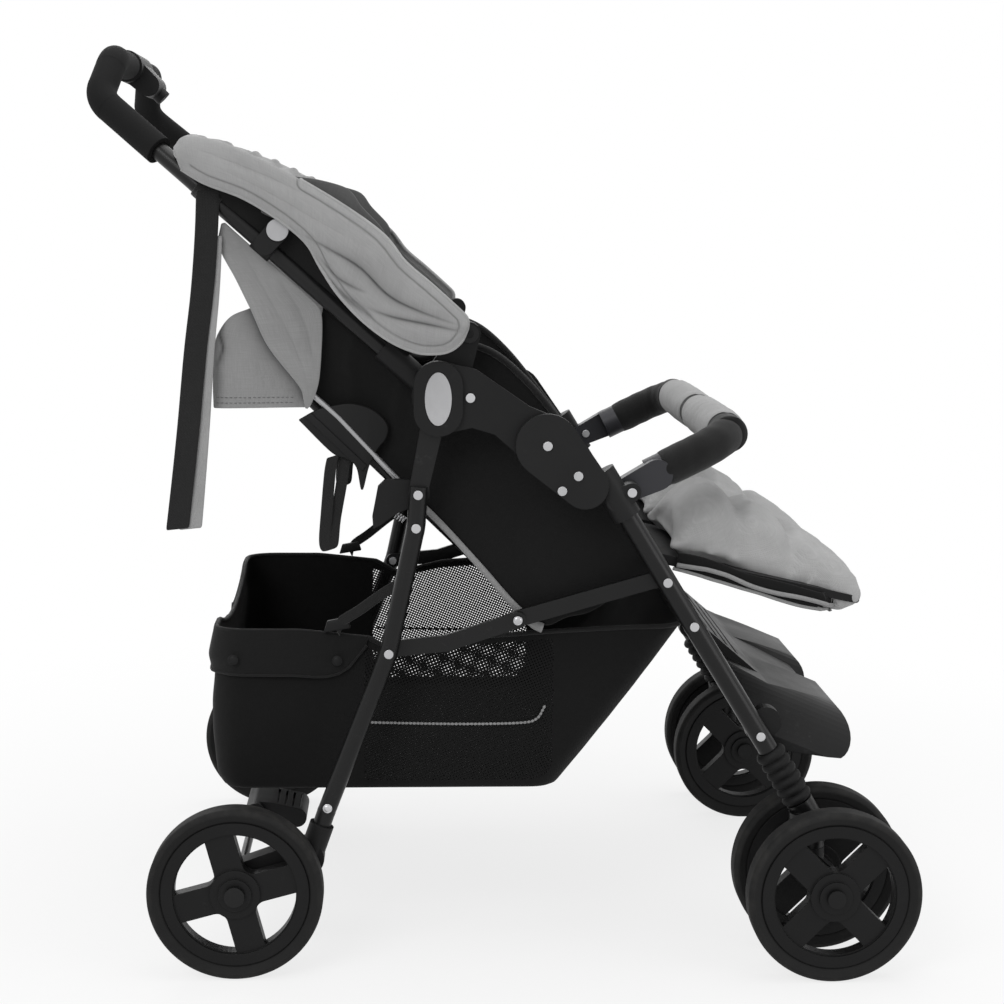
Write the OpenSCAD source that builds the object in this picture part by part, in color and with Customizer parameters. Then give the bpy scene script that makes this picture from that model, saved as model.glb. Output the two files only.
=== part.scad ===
// Twin pram: two seats side by side on a folding tube frame, six wheels.
// X runs from back to front, Y to the left of the person pushing, Z up from the floor.

/* [Wheels] */
// Diameter over the tyre
wheel_d = 190; // [170:1:230]
// Width of a tyre
tyre_w = 30; // [24:1:34]
// Height of the tyre section
tyre_h = 15; // [12:1:18]
// Width of a wheel spoke
spoke_w = 32; // [26:1:38]
// Depth of the rim band inside the tyre
rim_h = 13; // [9:1:16]
// Diameter of every wheel axle
axle_d = 10; // [8:1:12]
// Distance between the two wheels of a front pair, centre to centre
pair_gap = 98; // [92:1:110]
// Distance from the rear axle to the front axles
wheelbase = 648; // [600:1:780]
// How far a front axle lies ahead of its swivel axis
trail = 22; // [16:1:30]

/* [Frame] */
// Half distance between the left and right leg tubes
leg_y = 288; // [260:1:345]
// Diameter of the front leg tubes
front_leg_d = 22; // [18:1:24]
// Diameter of the rear leg tubes
rear_leg_d = 20; // [16:1:20]
// Diameter of the cross tubes
cross_d = 16; // [14:1:20]
// Distance of the fold hub ahead of the rear axle
hub_x = 217; // [200:1:235]
// Height of the fold hub above the axles
hub_rise = 534; // [500:1:570]
// Diameter of the fold hub pin
hub_pin_d = 10; // [8:1:12]
// Diameter of the rivets
rivet_d = 8; // [6:1:8]
// Diameter of a rivet head
rivet_head_d = 10; // [9:1:14]
// Width of the flat side links
link_w = 18; // [16:1:20]
// Thickness of a side link
link_t = 5.6; // [4:0.1:5.6]

/* [Handle] */
// Diameter of the handle tube
handle_d = 20; // [18:1:22]
// Diameter of the foam grip
grip_d = 32; // [28:1:36]
// Half width of the handle where the grips start to turn in
handle_y = 196; // [180:1:215]
// Height of the handle crossbar above the axles
handle_rise = 891; // [860:1:930]
// Distance of the grips behind the rear axle
handle_back = 150; // [130:1:170]

/* [Canopy] */
// Length of the canopy bow from its pivot to its crest
bow_len = 330; // [300:1:350]
// Angle of the folded bow above the horizontal, from the front
bow_angle = 146.5; // [142:0.5:150]
// Diameter of the bow wire
bow_d = 6; // [5:1:6]

/* [Seats] */
// Length of a backrest from its hinge
back_len = 415; // [380:1:425]
// Slope of the reclined backrest above the horizontal
back_slope = 44; // [40:1:50]
// Thickness of the seat and back cushions at their crown
pad_t = 28; // [22:1:30]
// Gap between the two seats
seat_gap = 16; // [12:1:30]

/* [Basket] */
// Height of the basket floor above the ground
basket_floor_z = 187; // [175:1:210]
// Thickness of the basket wall
basket_wall = 3; // [2:0.5:5]

/* [Clearances] */
// Radial play of a pin or shaft in its bore
play = 0.05; // [0.02:0.01:0.08]
// Gap between neighbouring pieces that move past each other
gap = 0.3; // [0.25:0.05:0.4]

/* [Hidden] */
$fn = 48;
axle_z = wheel_d / 2;
axle_r = axle_d / 2;
rivet_r = rivet_d / 2;
head_r = rivet_head_d / 2;
head_t = 2.4;
hub = [hub_x, axle_z + hub_rise];
hub_r = hub_pin_d / 2;
leg_r = front_leg_d / 2;
rear_r = rear_leg_d / 2;
cross_r = cross_d / 2;

// Front leg: a straight line from its cap to the swivel head
head_x = wheelbase - trail;
head_z = axle_z + 76;
leg_top = [hub_x + 177, hub[1] - 83];
leg_bottom = [head_x, head_z];
leg_dir = (leg_bottom - leg_top) / norm(leg_bottom - leg_top);
leg_full = norm(leg_bottom - leg_top);
bellows_len = 84;
leg_len = leg_full - bellows_len;
function on_leg(s) = leg_top + leg_dir * s;
seat_tube_at = 113;
link_pin_at = 135;
basket_tube_at = 192;
footrest_at = leg_len - 21;
strut_r = 8;
strut_reach = 66;
cap_sleeve_r = leg_r + 4.5;
cap_sleeve_len = 52;

// Lateral layers, as distances from the middle plane
arm_in = leg_y + 3;
arm_out = leg_y + leg_r;
cap_out = arm_out + 8;
bar_in = leg_y - 5;
bar_out = arm_in - gap;
knuckle_out = bar_in - gap;
knuckle_in = knuckle_out - 19.7;
link_out = leg_y - leg_r - 2;
link_mid = link_out - link_t;
link_in = link_mid - gap - link_t;
bow_y = knuckle_out + gap + bow_d / 2;
cloth_in = bow_y + bow_d / 2 + gap;
cloth_out = cloth_in + 1.2;
seat_y = leg_y - 42;
panel_in = seat_y + 2.3;
panel_out = panel_in + 2.7;
rail_y = panel_in - gap - cross_r;
rail_bend = 26;

// Rear leg and side links
link_pivot = [hub_x - 52, hub[1] - 276];
knee = [hub_x + 88, hub[1] - 244];
leg_foot = [81, axle_z + 34];
bar_low = [hub_x - 21, hub[1] - 103];
leg_bend = [hub_x - 23, hub[1] - 139];
leg_mid = [97, axle_z + 80];
rear_wheel_y = leg_y + rear_r + 5 + tyre_w / 2;
front_unit_y = leg_y + 4;

// Handle, canopy and seat lines
handle_top = [12 - handle_back, axle_z + handle_rise];
handle_turn = [2 - handle_back, axle_z + handle_rise - 44];
handle_knee = [hub_x - 252, hub[1] + 220];
handle_dir = (handle_knee - hub) / norm(handle_knee - hub);
socket_r = handle_d / 2 + 3.5;
knuckle_y = knuckle_out - socket_r;
canopy_pivot = hub + [33, 68];
bow_dir = [cos(bow_angle), sin(bow_angle)];
bow_crest = canopy_pivot + bow_dir * bow_len;
seat_front = on_leg(seat_tube_at);
seat_rear = [hub_x + 95, hub[1] - 237];
seat_dir = (seat_front - seat_rear) / norm(seat_front - seat_rear);
seat_up = [-seat_dir[1], seat_dir[0]];
seat_len = norm(seat_front - seat_rear);
back_dir = [-cos(back_slope), sin(back_slope)];
back_up = [sin(back_slope), cos(back_slope)];
board_t = 5;
back_tube_r = 7;
bumper_pivot = leg_top + leg_dir * 30.2 + [-leg_dir[1], leg_dir[0]] * 17.2;
bumper_corner = bumper_pivot + [114, 56];
bumper_r = 19;
bumper_bend = 44;
bumper_y = leg_y - cap_sleeve_r - bumper_r - gap;
bracket_in = panel_out + 3.5;

// The whole model is centred on its footprint
// The bend of the grips stays this far short of its corner
grip_short = 2.21;
x_mid = (wheelbase + axle_z + handle_turn[0] - grip_d / 2 + grip_short) / 2;

// Points, outlines and placing
function at(p, y) = [p[0], y, p[1]];
function arc(c, r, from, to, steps) =
  [for (i = [0 : steps]) let (a = from + (to - from) * i / steps) c + r * [cos(a), sin(a)]];
function capsule(p, q, rp, rq) =
  let (run = atan2(q[1] - p[1], q[0] - p[0]), lean = acos((rp - rq) / norm(q - p)))
  concat(arc(p, rp, run + lean, run + 360 - lean, 16), arc(q, rq, run - lean, run + lean, 12));
function oval(c, a, b, steps) =
  [for (i = [0 : steps - 1]) let (t = 360 * i / steps) c + [a * cos(t), b * sin(t)]];
function strip(path, half) =
  let (
    n = len(path) - 1,
    dirs = [for (i = [0 : n]) let (d = path[min(i + 1, n)] - path[max(i - 1, 0)]) d / norm(d)],
    normals = [for (d = dirs) [-d[1], d[0]]]
  )
  concat([for (i = [0 : n]) path[i] + normals[i] * half],
    [for (i = [n : -1 : 0]) path[i] - normals[i] * half]);

module centred() { translate([-x_mid, 0, 0]) children(); }
module left() { mirror([0, 1, 0]) children(); }
module both() { children(); left() children(); }
// An outline in the XZ plane, made solid between two distances on the right side
module slab(near, far) { rotate([90, 0, 0]) translate([0, 0, near]) linear_extrude(far - near) children(); }
module across(half) { rotate([90, 0, 0]) translate([0, 0, -half]) linear_extrude(2 * half) children(); }
module pin(p, near, far, r) { slab(near, far) translate(p) circle(r); }
module rod(a, b, r) {
  d = b - a;
  translate(a) rotate([0, acos(d[2] / norm(d)), atan2(d[1], d[0])]) cylinder(h = norm(d), r = r);
}
// A round tube along straight runs, bent to one radius at each inner point.
// A bend is a hair fatter than its runs, which reach a little way into it.
bend_swell = 0.15;
bend_lap = 1;
module bent_tube(pts, r, bend) {
  last = len(pts) - 1;
  way = [for (i = [0 : last - 1]) (pts[i + 1] - pts[i]) / norm(pts[i + 1] - pts[i])];
  turn = [for (i = [0 : last]) (i == 0 || i == last) ? 0 : acos(way[i - 1] * way[i])];
  cut = [for (i = [0 : last]) (i == 0 || i == last) ? 0 : bend * tan(turn[i] / 2) - bend_lap];
  for (i = [0 : last - 1]) rod(pts[i] + way[i] * cut[i], pts[i + 1] - way[i] * cut[i + 1], r);
  for (i = [1 : last - 1]) {
    side = way[i] - way[i - 1] * (way[i] * way[i - 1]);
    inward = side / norm(side);
    centre = pts[i] - way[i - 1] * (cut[i] + bend_lap) + inward * bend;
    x = -inward;
    y = way[i - 1];
    z = cross(x, y);
    multmatrix([[x[0], y[0], z[0], centre[0]], [x[1], y[1], z[1], centre[1]], [x[2], y[2], z[2], centre[2]]])
      rotate_extrude(angle = turn[i]) translate([bend, 0]) circle(r + bend_swell);
  }
}
module rivet(p, from, face) {
  pin(p, from, face + gap / 3, rivet_r - play);
  pin(p, face + gap / 3, face + gap / 3 + head_t, head_r);
}

// A padded form: flat below, crowned above, sides drawn in, with sewn channels across it
pad_cells_u = 14;
pad_cells_v = 12;
function pad_rise(u, v, edge, root, tip, channels, depth) =
  let (
    full = root + (tip - root) * u,
    crown = (1 - pow(abs(2 * u - 1), 5)) * (1 - pow(abs(v), 4)),
    dip = max([0, for (c = channels) depth * exp(-pow((u - c) / 0.035, 2))])
  )
  edge + max(0, full - edge) * crown * (1 - dip);
module padded(length, half, root, tip, edge, draw, channels, depth) {
  n = pad_cells_u;
  m = pad_cells_v;
  grid = [for (i = [0 : n]) for (j = [0 : m])
    let (u = i / n, v = 2 * j / m - 1)
    [length * u + draw * (0.5 - u) * 2 * (1 - v * v), (half - draw * sin(180 * u)) * v, u, v]];
  top = [for (g = grid) [g[0], g[1], pad_rise(g[2], g[3], edge, root, tip, channels, depth)]];
  base = [for (g = grid) [g[0], g[1], 0]];
  count = len(grid);
  row = m + 1;
  roof = [for (i = [0 : n - 1]) for (j = [0 : m - 1]) let (a = i * row + j)
    each [[a, a + 1, a + row], [a + 1, a + row + 1, a + row]]];
  floor_faces = [for (f = roof) [f[0] + count, f[2] + count, f[1] + count]];
  rim = concat([for (j = [0 : m]) j], [for (i = [1 : n]) i * row + m],
    [for (j = [m - 1 : -1 : 0]) n * row + j], [for (i = [n - 1 : -1 : 1]) i * row]);
  walls = [for (k = [0 : len(rim) - 1]) let (a = rim[k], b = rim[(k + 1) % len(rim)])
    each [[a, a + count, b], [b, a + count, b + count]]];
  polyhedron(points = concat(top, base), faces = concat(roof, floor_faces, walls));
}

// Front frame
module front_leg() {
  color("#222222") difference() {
    rod(at(leg_top, -leg_y), at(on_leg(leg_len), -leg_y), leg_r);
    rod(at(on_leg(leg_len - strut_reach), -leg_y), at(on_leg(leg_len + 1), -leg_y), strut_r + play);
    for (s = [link_pin_at, basket_tube_at]) pin(on_leg(s), leg_y - 20, leg_y + 20, rivet_r);
    pin(foot_lug, leg_y + strut_r, leg_y + 20, rivet_r);
  }
}
arm_joint = hub + [116, -49];
arm_rivet = hub + [34, 1];
cap_rivets = [hub + [149, -81], hub + [132, -97]];
oval_half = 14;
oval_r = 26;
badge_a = 14.5;
badge_b = 28.5;
badge_t = 2;
module armrest() {
  color("#262626") difference() {
    union() {
      slab(arm_in, arm_out + 5)
        polygon(capsule(hub - [0, oval_half], hub + [0, oval_half], oval_r, oval_r - 0.01));
      slab(arm_in, arm_out) polygon(concat(
        [hub + [4, 39], hub + [40, 31], arm_joint + [-19, 41]],
        arc(arm_joint, 31, 75, -115, 14),
        [hub + [82, -57], hub + [60, -38], hub + [36, -31], hub + [4, -38]]));
    }
    pin(hub, 0, arm_out + 10, hub_r);
    slab(arm_out + 5 - badge_t, arm_out + 10) polygon(oval(hub, badge_a, badge_b, 48));
    pin(arm_joint, 0, arm_out + 10, rivet_r);
    pin(arm_rivet, 0, arm_out + 10, rivet_r);
  }
}
ear_out = leg_y + 12;
module leg_cap() {
  foot = leg_top + [-20, -9];
  color("#242424") difference() {
    union() {
      slab(arm_out + gap, cap_out) polygon(capsule(arm_joint, foot, 34, 25));
      rod(at(on_leg(-5), -leg_y), at(on_leg(cap_sleeve_len), -leg_y), cap_sleeve_r);
      slab(leg_y - cap_sleeve_r, ear_out) polygon(capsule(on_leg(30), bumper_pivot, 13, 10));
    }
    rod(at(on_leg(-gap), -leg_y), at(on_leg(cap_sleeve_len + 1), -leg_y), leg_r + play);
    for (p = concat([arm_joint], cap_rivets)) pin(p, arm_out, cap_out + 10, rivet_r);
    pin(bumper_pivot, 0, leg_y + 30, rivet_r);
  }
}
module hub_badges() {
  color("#b5b5b5") both() slab(arm_out + 5 - badge_t, arm_out + 5.6)
    polygon(oval(hub, badge_a - gap, badge_b - gap, 48));
}
// Hub pins, arm rivets, bumper pins and the rivets through the front legs
module frame_pins() {
  color("#c8c8c8") both() {
    pin(hub, knuckle_in - 2, arm_out + 5 - badge_t - gap, hub_r - play);
    pin(hub, knuckle_in - 5, knuckle_in - gap, hub_r + 3);
    rivet(arm_joint, arm_in, cap_out);
    rivet(arm_rivet, arm_in, arm_out);
    for (p = cap_rivets) rivet(p, arm_out + 1, cap_out);
    rivet(bumper_pivot, bracket_in - gap - head_t, ear_out);
    pin(bumper_pivot, bracket_in - gap - head_t, bracket_in - gap, head_r);
    rivet(on_leg(link_pin_at), link_in, arm_out);
    pin(on_leg(link_pin_at), link_in - 2.5, link_in - gap, head_r);
    rivet(on_leg(basket_tube_at), leg_y - leg_r - 14, arm_out);
    rivet(foot_lug, leg_y + strut_r + 2 * play, arm_out);
  }
}
module seat_front_tube() {
  reach = leg_y - leg_r - gap;
  color("#1e1e1e") rod(at(seat_front, -reach), at(seat_front, reach), cross_r);
}
module basket_tube() {
  p = on_leg(basket_tube_at);
  color("#1e1e1e") difference() {
    rod(at(p, gap + leg_r - leg_y), at(p, leg_y - leg_r - gap), cross_r);
    both() pin(p, leg_y - leg_r - 14 - gap, leg_y, rivet_r);
  }
}
module seat_frame() {
  front = seat_front - seat_dir * (cross_r + gap);
  color("#1e1e1e") bent_tube(
    [at(front, -rail_y), at(seat_rear, -rail_y), at(seat_rear, rail_y), at(front, rail_y)],
    cross_r, rail_bend);
}
// Footrest: a grooved tread that rises along the legs, with a crowned hump for each child's feet
foot_lug = on_leg(footrest_at);
foot_reach = leg_y - leg_r - gap;
foot_skin = 4;
tread_half = 150;
groove_pitch = 16;
hump_from = 25;
hump_flat = [70, 165];
hump_rise = 46;
hump_fall = 22.5;
function hump_crown(y, end) = hump_rise - (
  y < hump_flat[0] ? 34 * pow((hump_flat[0] - y) / (hump_flat[0] - hump_from), 2)
  : y > hump_flat[1] ? hump_rise * pow((y - hump_flat[1]) / (end - hump_flat[1]), 2) : 0);
module hump(skin) {
  from = hump_from + skin;
  end = foot_reach - 16 - skin;
  d = [cos(hump_fall), -sin(hump_fall)];
  crown = [for (i = [0 : 30]) let (y = from + (end - from) * i / 30) [-y, hump_crown(y, end)]];
  intersection() {
    slab(from, end) polygon(concat(
      [foot_lug + [-30, 62], foot_lug + [26, 34], foot_lug + [57, 24]],
      arc(foot_lug + [93, -14], 24, 62, -75, 10), [foot_lug + [28, -26], foot_lug + [-6, -4]]));
    multmatrix([[0, -d[1], d[0], foot_lug[0]], [1, 0, 0, 0], [0, d[0], d[1], foot_lug[1]]])
      translate([0, 0, -90]) linear_extrude(240) polygon(concat(crown, [[-end, -90], [-from, -90]]));
  }
}
module tread(skin) {
  across(tread_half - skin) polygon(concat(
    [foot_lug + [-56, 88], foot_lug + [-46, 94], foot_lug + [22, 36], foot_lug + [56, 20]],
    arc(foot_lug + [88, -14], 16, 62, -90, 8), [foot_lug + [30, -24], foot_lug + [-4, -6]]));
  both() hump(skin);
}
module footrest() {
  color("#202020") {
    difference() {
      tread(0);
      translate([-foot_skin * 0.8, 0, -foot_skin * 1.1]) tread(foot_skin);
      for (k = [0 : 3]) translate(at(foot_lug + [-36, 85.5], 0)) rotate([0, 40.5, 0])
        translate([groove_pitch * k, 0, 0]) cube([5, 2 * tread_half - 40, 4], center = true);
    }
    both() slab(foot_reach - 17, foot_reach) polygon(capsule(foot_lug + [10, 10], foot_lug, 17, 12));
  }
}

// Seats
seat_half = (seat_y - seat_gap / 2) / 2;
seat_mid = seat_gap / 2 + seat_half;
module on_seat(from) {
  o = seat_rear + seat_dir * from + seat_up * (cross_r + gap);
  multmatrix([[seat_dir[0], 0, seat_up[0], o[0]], [0, 1, 0, -seat_mid], [seat_dir[1], 0, seat_up[1], o[1]]])
    children();
}
seat_pad_from = 52;
module seat_boards() {
  color("#303030") both() on_seat(22) translate([0, 3 - seat_half, 0])
    cube([seat_len - 22 - cross_r - 4, 2 * seat_half - 6, board_t]);
}
module seat_pad() {
  color("#3a3a3a") on_seat(seat_pad_from) translate([0, 0, board_t + gap])
    padded(seat_len - seat_pad_from + 4, seat_half - 4, pad_t, pad_t - 4, 10, 5, [0.33, 0.67], 0.45);
}
// Black cloth wing between the seat edge and the armrest
module side_panel() {
  color("#1b1b1b") difference() {
    slab(panel_in, panel_out) polygon(concat(
      [hub + [-8, -126], seat_rear + [24, -16], seat_rear + [90, 8], seat_front + [4, -24]],
      [seat_front + [-8, 40], seat_front + [-62, 92], hub + [84, -62], hub + [30, -46]]));
    pin(seat_front, 0, leg_y, cross_r + gap);
  }
}

// Basket: an open bag with a slanted front, hung from its tube
basket_half = seat_y - 2;
basket_front = on_leg(basket_tube_at) - [0, cross_r + gap];
module basket() {
  rim_z = basket_front[1];
  outer = [[-27, basket_floor_z + 8], [-19, basket_floor_z], [352, basket_floor_z], [366, basket_floor_z + 8],
    basket_front + [4, 0], [-27, rim_z - 16]];
  w = basket_wall;
  inner = [[-27 + w, basket_floor_z + 9], [-17, basket_floor_z + w], [351, basket_floor_z + w],
    [363, basket_floor_z + 9], basket_front + [-w, 0], basket_front + [-w, 20], [-27 + w, rim_z + 20]];
  color("#1c1c1c") difference() {
    across(basket_half) polygon(outer);
    across(basket_half - w) polygon(inner);
  }
}

// Handle frame
handle_in = at(hub + handle_dir * 34, -knuckle_y);
handle_path = [
  handle_in, at(handle_knee, 30 - leg_y), at(handle_turn, -handle_y), at(handle_top, 46 - handle_y),
  at(handle_top, handle_y - 46), at(handle_turn, handle_y), at(handle_knee, leg_y - 30),
  [handle_in[0], -handle_in[1], handle_in[2]]
];
handle_bend = 34;
handle_run = (handle_path[1] - handle_path[0]) / norm(handle_path[1] - handle_path[0]);
function tube_y(s) = -handle_in[1] - (s - 34) * handle_run[1];
grip_run = handle_path[2] - handle_path[1];
grip_start = handle_path[2] - grip_run / norm(grip_run) * 96;
module handle_tube() {
  color("#1f1f1f") bent_tube(handle_path, handle_d / 2, handle_bend);
}
module handle_grips() {
  color("#2b2b2b") both() difference() {
    bent_tube([grip_start, handle_path[2], handle_path[3], at(handle_top, -56)], grip_d / 2, handle_bend);
    bent_tube([handle_path[1], handle_path[2], handle_path[3], at(handle_top, 0)],
      handle_d / 2 + play, handle_bend);
  }
}
button_r = 9;
button_travel = 6;
module release_housing() {
  color("#181818") difference() {
    union() {
      rod(at(handle_top, -50), at(handle_top, 50), grip_d / 2 + 2);
      across(34) polygon(capsule(handle_top, handle_top + [22, -20], 15, 13));
    }
    rod(at(handle_top, -60), at(handle_top, 60), handle_d / 2 + play);
    translate(at(handle_top + [22, -20], 0)) rotate([0, 135, 0]) cylinder(h = 40, r = button_r + play);
  }
}
module release_button() {
  color("#3c3c3c") translate(at(handle_top + [22, -20], 0)) rotate([0, 135, 0])
    translate([0, 0, button_travel + 1]) cylinder(h = 13, r = button_r);
}
module handle_knuckles() {
  color("#202020") both() difference() {
    union() {
      slab(knuckle_in, knuckle_out) polygon(capsule(hub, canopy_pivot, 28, 12));
      rod(at(hub + handle_dir * 20, -knuckle_y), at(hub + handle_dir * 78, -knuckle_y), socket_r);
      pin(canopy_pivot, knuckle_out - 1, bow_y + bow_d / 2, rivet_r - play);
    }
    pin(hub, 0, leg_y, hub_r);
    rod(handle_in - handle_run * gap, handle_path[1], handle_d / 2 + play);
  }
}
// Rear drape below the canopy: side returns and a gathered back, hanging in soft folds
drape_back = -24;
drape_hem = axle_z + 519;
drape_y = leg_y - 29;
fold_count = 7;
fold_depth = 4;
module rear_curtain() {
  below = [-handle_dir[1], handle_dir[0]];
  edge = hub + below * (handle_d / 2 + gap);
  corner = handle_dir * (strap_at - strap_loop / 2 - 2);
  clip = [handle_dir * (clip_at - clip_r - 2), handle_dir * (clip_at + clip_r + 2)];
  step = below * 4;
  path = concat(
    [for (i = [0 : 8]) [96 - 108 * i / 8, -drape_y - 1.5 * sin(90 * i)]],
    [for (i = [1 : 56]) let (t = i / 57) [drape_back - fold_depth * (1 - cos(360 * fold_count * t)) / 2,
      -drape_y + 4 + (2 * drape_y - 8) * t]],
    [for (i = [8 : -1 : 0]) [96 - 108 * i / 8, drape_y + 1.5 * sin(90 * i)]]);
  color("#8f8f8f") intersection() {
    translate([0, 0, drape_hem]) linear_extrude(240) polygon(strip(path, 0.8));
    across(leg_y) polygon([[drape_back - 12, drape_hem], [100, drape_hem], edge + handle_dir * 160,
      edge + clip[0], edge + clip[0] + step, edge + clip[1] + step, edge + clip[1],
      edge + corner, hub + [-233, 159], hub + [-199, 92], hub + [-222, 83], hub + [-237, 61],
      [drape_back - 12, hub[1] + 46]]);
  }
}
strap_w = 25;
strap_t = 2;
strap_at = 306;
strap_top = hub + handle_dir * strap_at;
strap_loop = 22;
module hand_strap() {
  y = tube_y(strap_at - strap_w / 2 - 6) + handle_d / 2 + gap;
  from = at(strap_top, -tube_y(strap_at)) - handle_run * strap_loop / 2;
  to = from + handle_run * strap_loop;
  color("#141414") {
    slab(y, y + strap_t) polygon(strip(
      [strap_top + [4, 4], strap_top + [4, -60], strap_top + [-2, -150], strap_top + [-14, -250],
        strap_top + [-34, -352]], strap_w / 2));
    difference() {
      rod(from, to, handle_d / 2 + gap + 2.6);
      rod(from - handle_run, to + handle_run, handle_d / 2 + gap);
    }
  }
}

// Clips on the handle tube that hold the rear corners of the canopy
clip_at = 242;
clip_foot = hub + handle_dir * clip_at;
clip_eye = clip_foot + [handle_dir[1], -handle_dir[0]] * 21;
clip_out = cloth_in - gap - 3;
clip_r = 12;
module canopy_clips() {
  from = at(clip_foot, -tube_y(clip_at)) - handle_run * clip_r;
  to = from + handle_run * 2 * clip_r;
  color("#1c1c1c") both() difference() {
    union() {
      rod(from, to, handle_d / 2 + 3);
      slab(tube_y(clip_at) + 9, clip_out) polygon(capsule(clip_foot, clip_eye, clip_r - 1, clip_r));
    }
    rod(from - handle_run * 9, to + handle_run * 9, handle_d / 2 + play);
    pin(clip_eye, clip_out - 6, leg_y, rivet_r);
  }
}
module clip_buttons() {
  color("#b5b5b5") both() {
    pin(clip_eye, clip_out - 5, clip_out + gap, rivet_r - play);
    pin(clip_eye, clip_out + gap, cloth_in - gap, clip_r - 0.5);
  }
}

// Canopy, folded back
canopy_low = [hub + [-186, 190], hub + [-93, 103], hub + [2, 52]];
canopy_high = [canopy_pivot + [-11, 20], hub + [-41, 161], hub + [-113, 222], hub + [-190, 250]];
module canopy_cover() {
  rear = hub + [-254, 268];
  waves = [for (i = [0 : 36]) let (t = i / 36)
    rear + [6, -2] + (canopy_high[2] - rear) * t + [0.25, 1] * (5 * sin(1080 * t) - 8)];
  color("#9a9a9a") {
    both() slab(cloth_in, cloth_out)
      polygon(concat(canopy_low, [canopy_pivot + [14, -8]], canopy_high, [rear]));
    difference() {
      across(cloth_in + 0.5) polygon(strip(waves, 0.9));
      rod(at(bow_crest, -leg_y), at(bow_crest, leg_y), bow_d / 2 + 1);
    }
  }
}
module canopy_bow() {
  start = canopy_pivot + bow_dir * 7;
  color("#2a2a2a") difference() {
    union() {
      bent_tube([at(start, -bow_y), at(bow_crest, -bow_y), at(bow_crest, bow_y), at(start, bow_y)],
        bow_d / 2, 50);
      both() pin(canopy_pivot, bow_y - 1.9, bow_y + 1.9, 10);
    }
    both() pin(canopy_pivot, 0, leg_y + 30, rivet_r);
  }
}

// Rear frame
module rear_leg() {
  color("#222222") difference() {
    union() {
      slab(bar_in, bar_out) polygon(capsule(hub, bar_low, 13, 10));
      bent_tube([for (p = [bar_low + [1, 8], leg_bend, link_pivot, leg_mid, leg_foot]) at(p, -leg_y)],
        rear_r, 90);
    }
    pin(hub, 0, leg_y + 30, hub_r);
    for (p = [bar_low, leg_bend, link_pivot]) pin(p, 0, leg_y + 30, rivet_r);
  }
}
foot_dir = (leg_foot - leg_mid) / norm(leg_foot - leg_mid);
module wheel_brackets() {
  color("#202020") both() difference() {
    union() {
      slab(leg_y - rear_r - 3, leg_y + rear_r + 2) polygon(capsule([0, axle_z], leg_foot + [-6, -4], 23, 20));
      rod(at(leg_foot + foot_dir * 8, -leg_y), at(leg_foot - foot_dir * 34, -leg_y), rear_r + 3.5);
    }
    rod(at(leg_foot, -leg_y), at(leg_mid, -leg_y), rear_r + play);
    pin([0, axle_z], 0, leg_y + 40, axle_r + play);
    slab(leg_y + 4, leg_y + 30) polygon(capsule([26, axle_z + 4], [48, axle_z + 16], 9, 8));
  }
}
module rear_axle() {
  reach = rear_wheel_y + tyre_w / 2 + 1;
  color("#9c9c9c") {
    rod([0, -reach, axle_z], [0, reach, axle_z], axle_r);
    both() pin([0, axle_z], reach - 0.5, reach + 4, 11);
  }
}
// Link pivots, hook pivots and rivets of the rear frame
hook_in = leg_y - 20 + gap;
module rear_pins() {
  color("#c8c8c8") both() {
    rivet(link_pivot, link_mid - 3, leg_y + rear_r + bend_swell);
    pin(link_pivot, link_mid - 3 - head_t, link_mid - gap, head_r);
    rivet(leg_bend, leg_y - rear_r, leg_y + rear_r + bend_swell);
    rivet(bar_low, hook_in - gap, leg_y + rear_r);
    pin(bar_low, hook_in - gap - head_t, hook_in - gap, head_r);
  }
}
module brake_pedal() {
  color("#1a1a1a") difference() {
    union() {
      rod([0, -44, axle_z], [0, 44, axle_z], axle_r + 8);
      across(34) polygon(concat([[0, axle_z - 13]], arc([50, axle_z - 8], 12, -90, 60, 10),
        [[20, axle_z + 11], [0, axle_z + 13]]));
    }
    rod([0, -50, axle_z], [0, 50, axle_z], axle_r + play);
    for (k = [0 : 3]) translate([26 + 9 * k, 0, axle_z + 9.5 - 3 * k]) rotate([0, 17, 0])
      cube([3, 56, 5], center = true);
  }
}
module fold_hooks() {
  color("#262626") both() difference() {
    slab(hook_in, leg_y - rear_r - gap) polygon(concat(arc(bar_low, 13, -70, 80, 10),
      [bar_low + [-18, 14], bar_low + [-36, 13], bar_low + [-43, 6], bar_low + [-49, -26],
        bar_low + [-48, -40], bar_low + [-40, -36], bar_low + [-22, -23]]));
    pin(bar_low, 0, leg_y, rivet_r);
  }
}
// Side links: a rear and a front flat bar that meet at a knee under the seats
module rear_links() {
  color("#1d1d1d") both() difference() {
    union() {
      slab(link_mid, link_out)
        polygon(capsule(link_pivot, link_pivot + [62, 6], link_w / 2, link_w / 2 - 0.01));
      slab(link_mid, link_out) polygon(capsule(link_pivot + [62, 6], knee, link_w / 2, link_w / 2 - 0.01));
      pin(knee, link_out, link_out + head_t, head_r);
    }
    pin(link_pivot, 0, leg_y, rivet_r);
  }
}
module front_links() {
  color("#1d1d1d") both() difference() {
    slab(link_in, link_mid - gap) polygon(capsule(knee, on_leg(link_pin_at), link_w / 2, link_w / 2 - 0.01));
    pin(on_leg(link_pin_at), 0, leg_y, rivet_r);
  }
}

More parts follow.
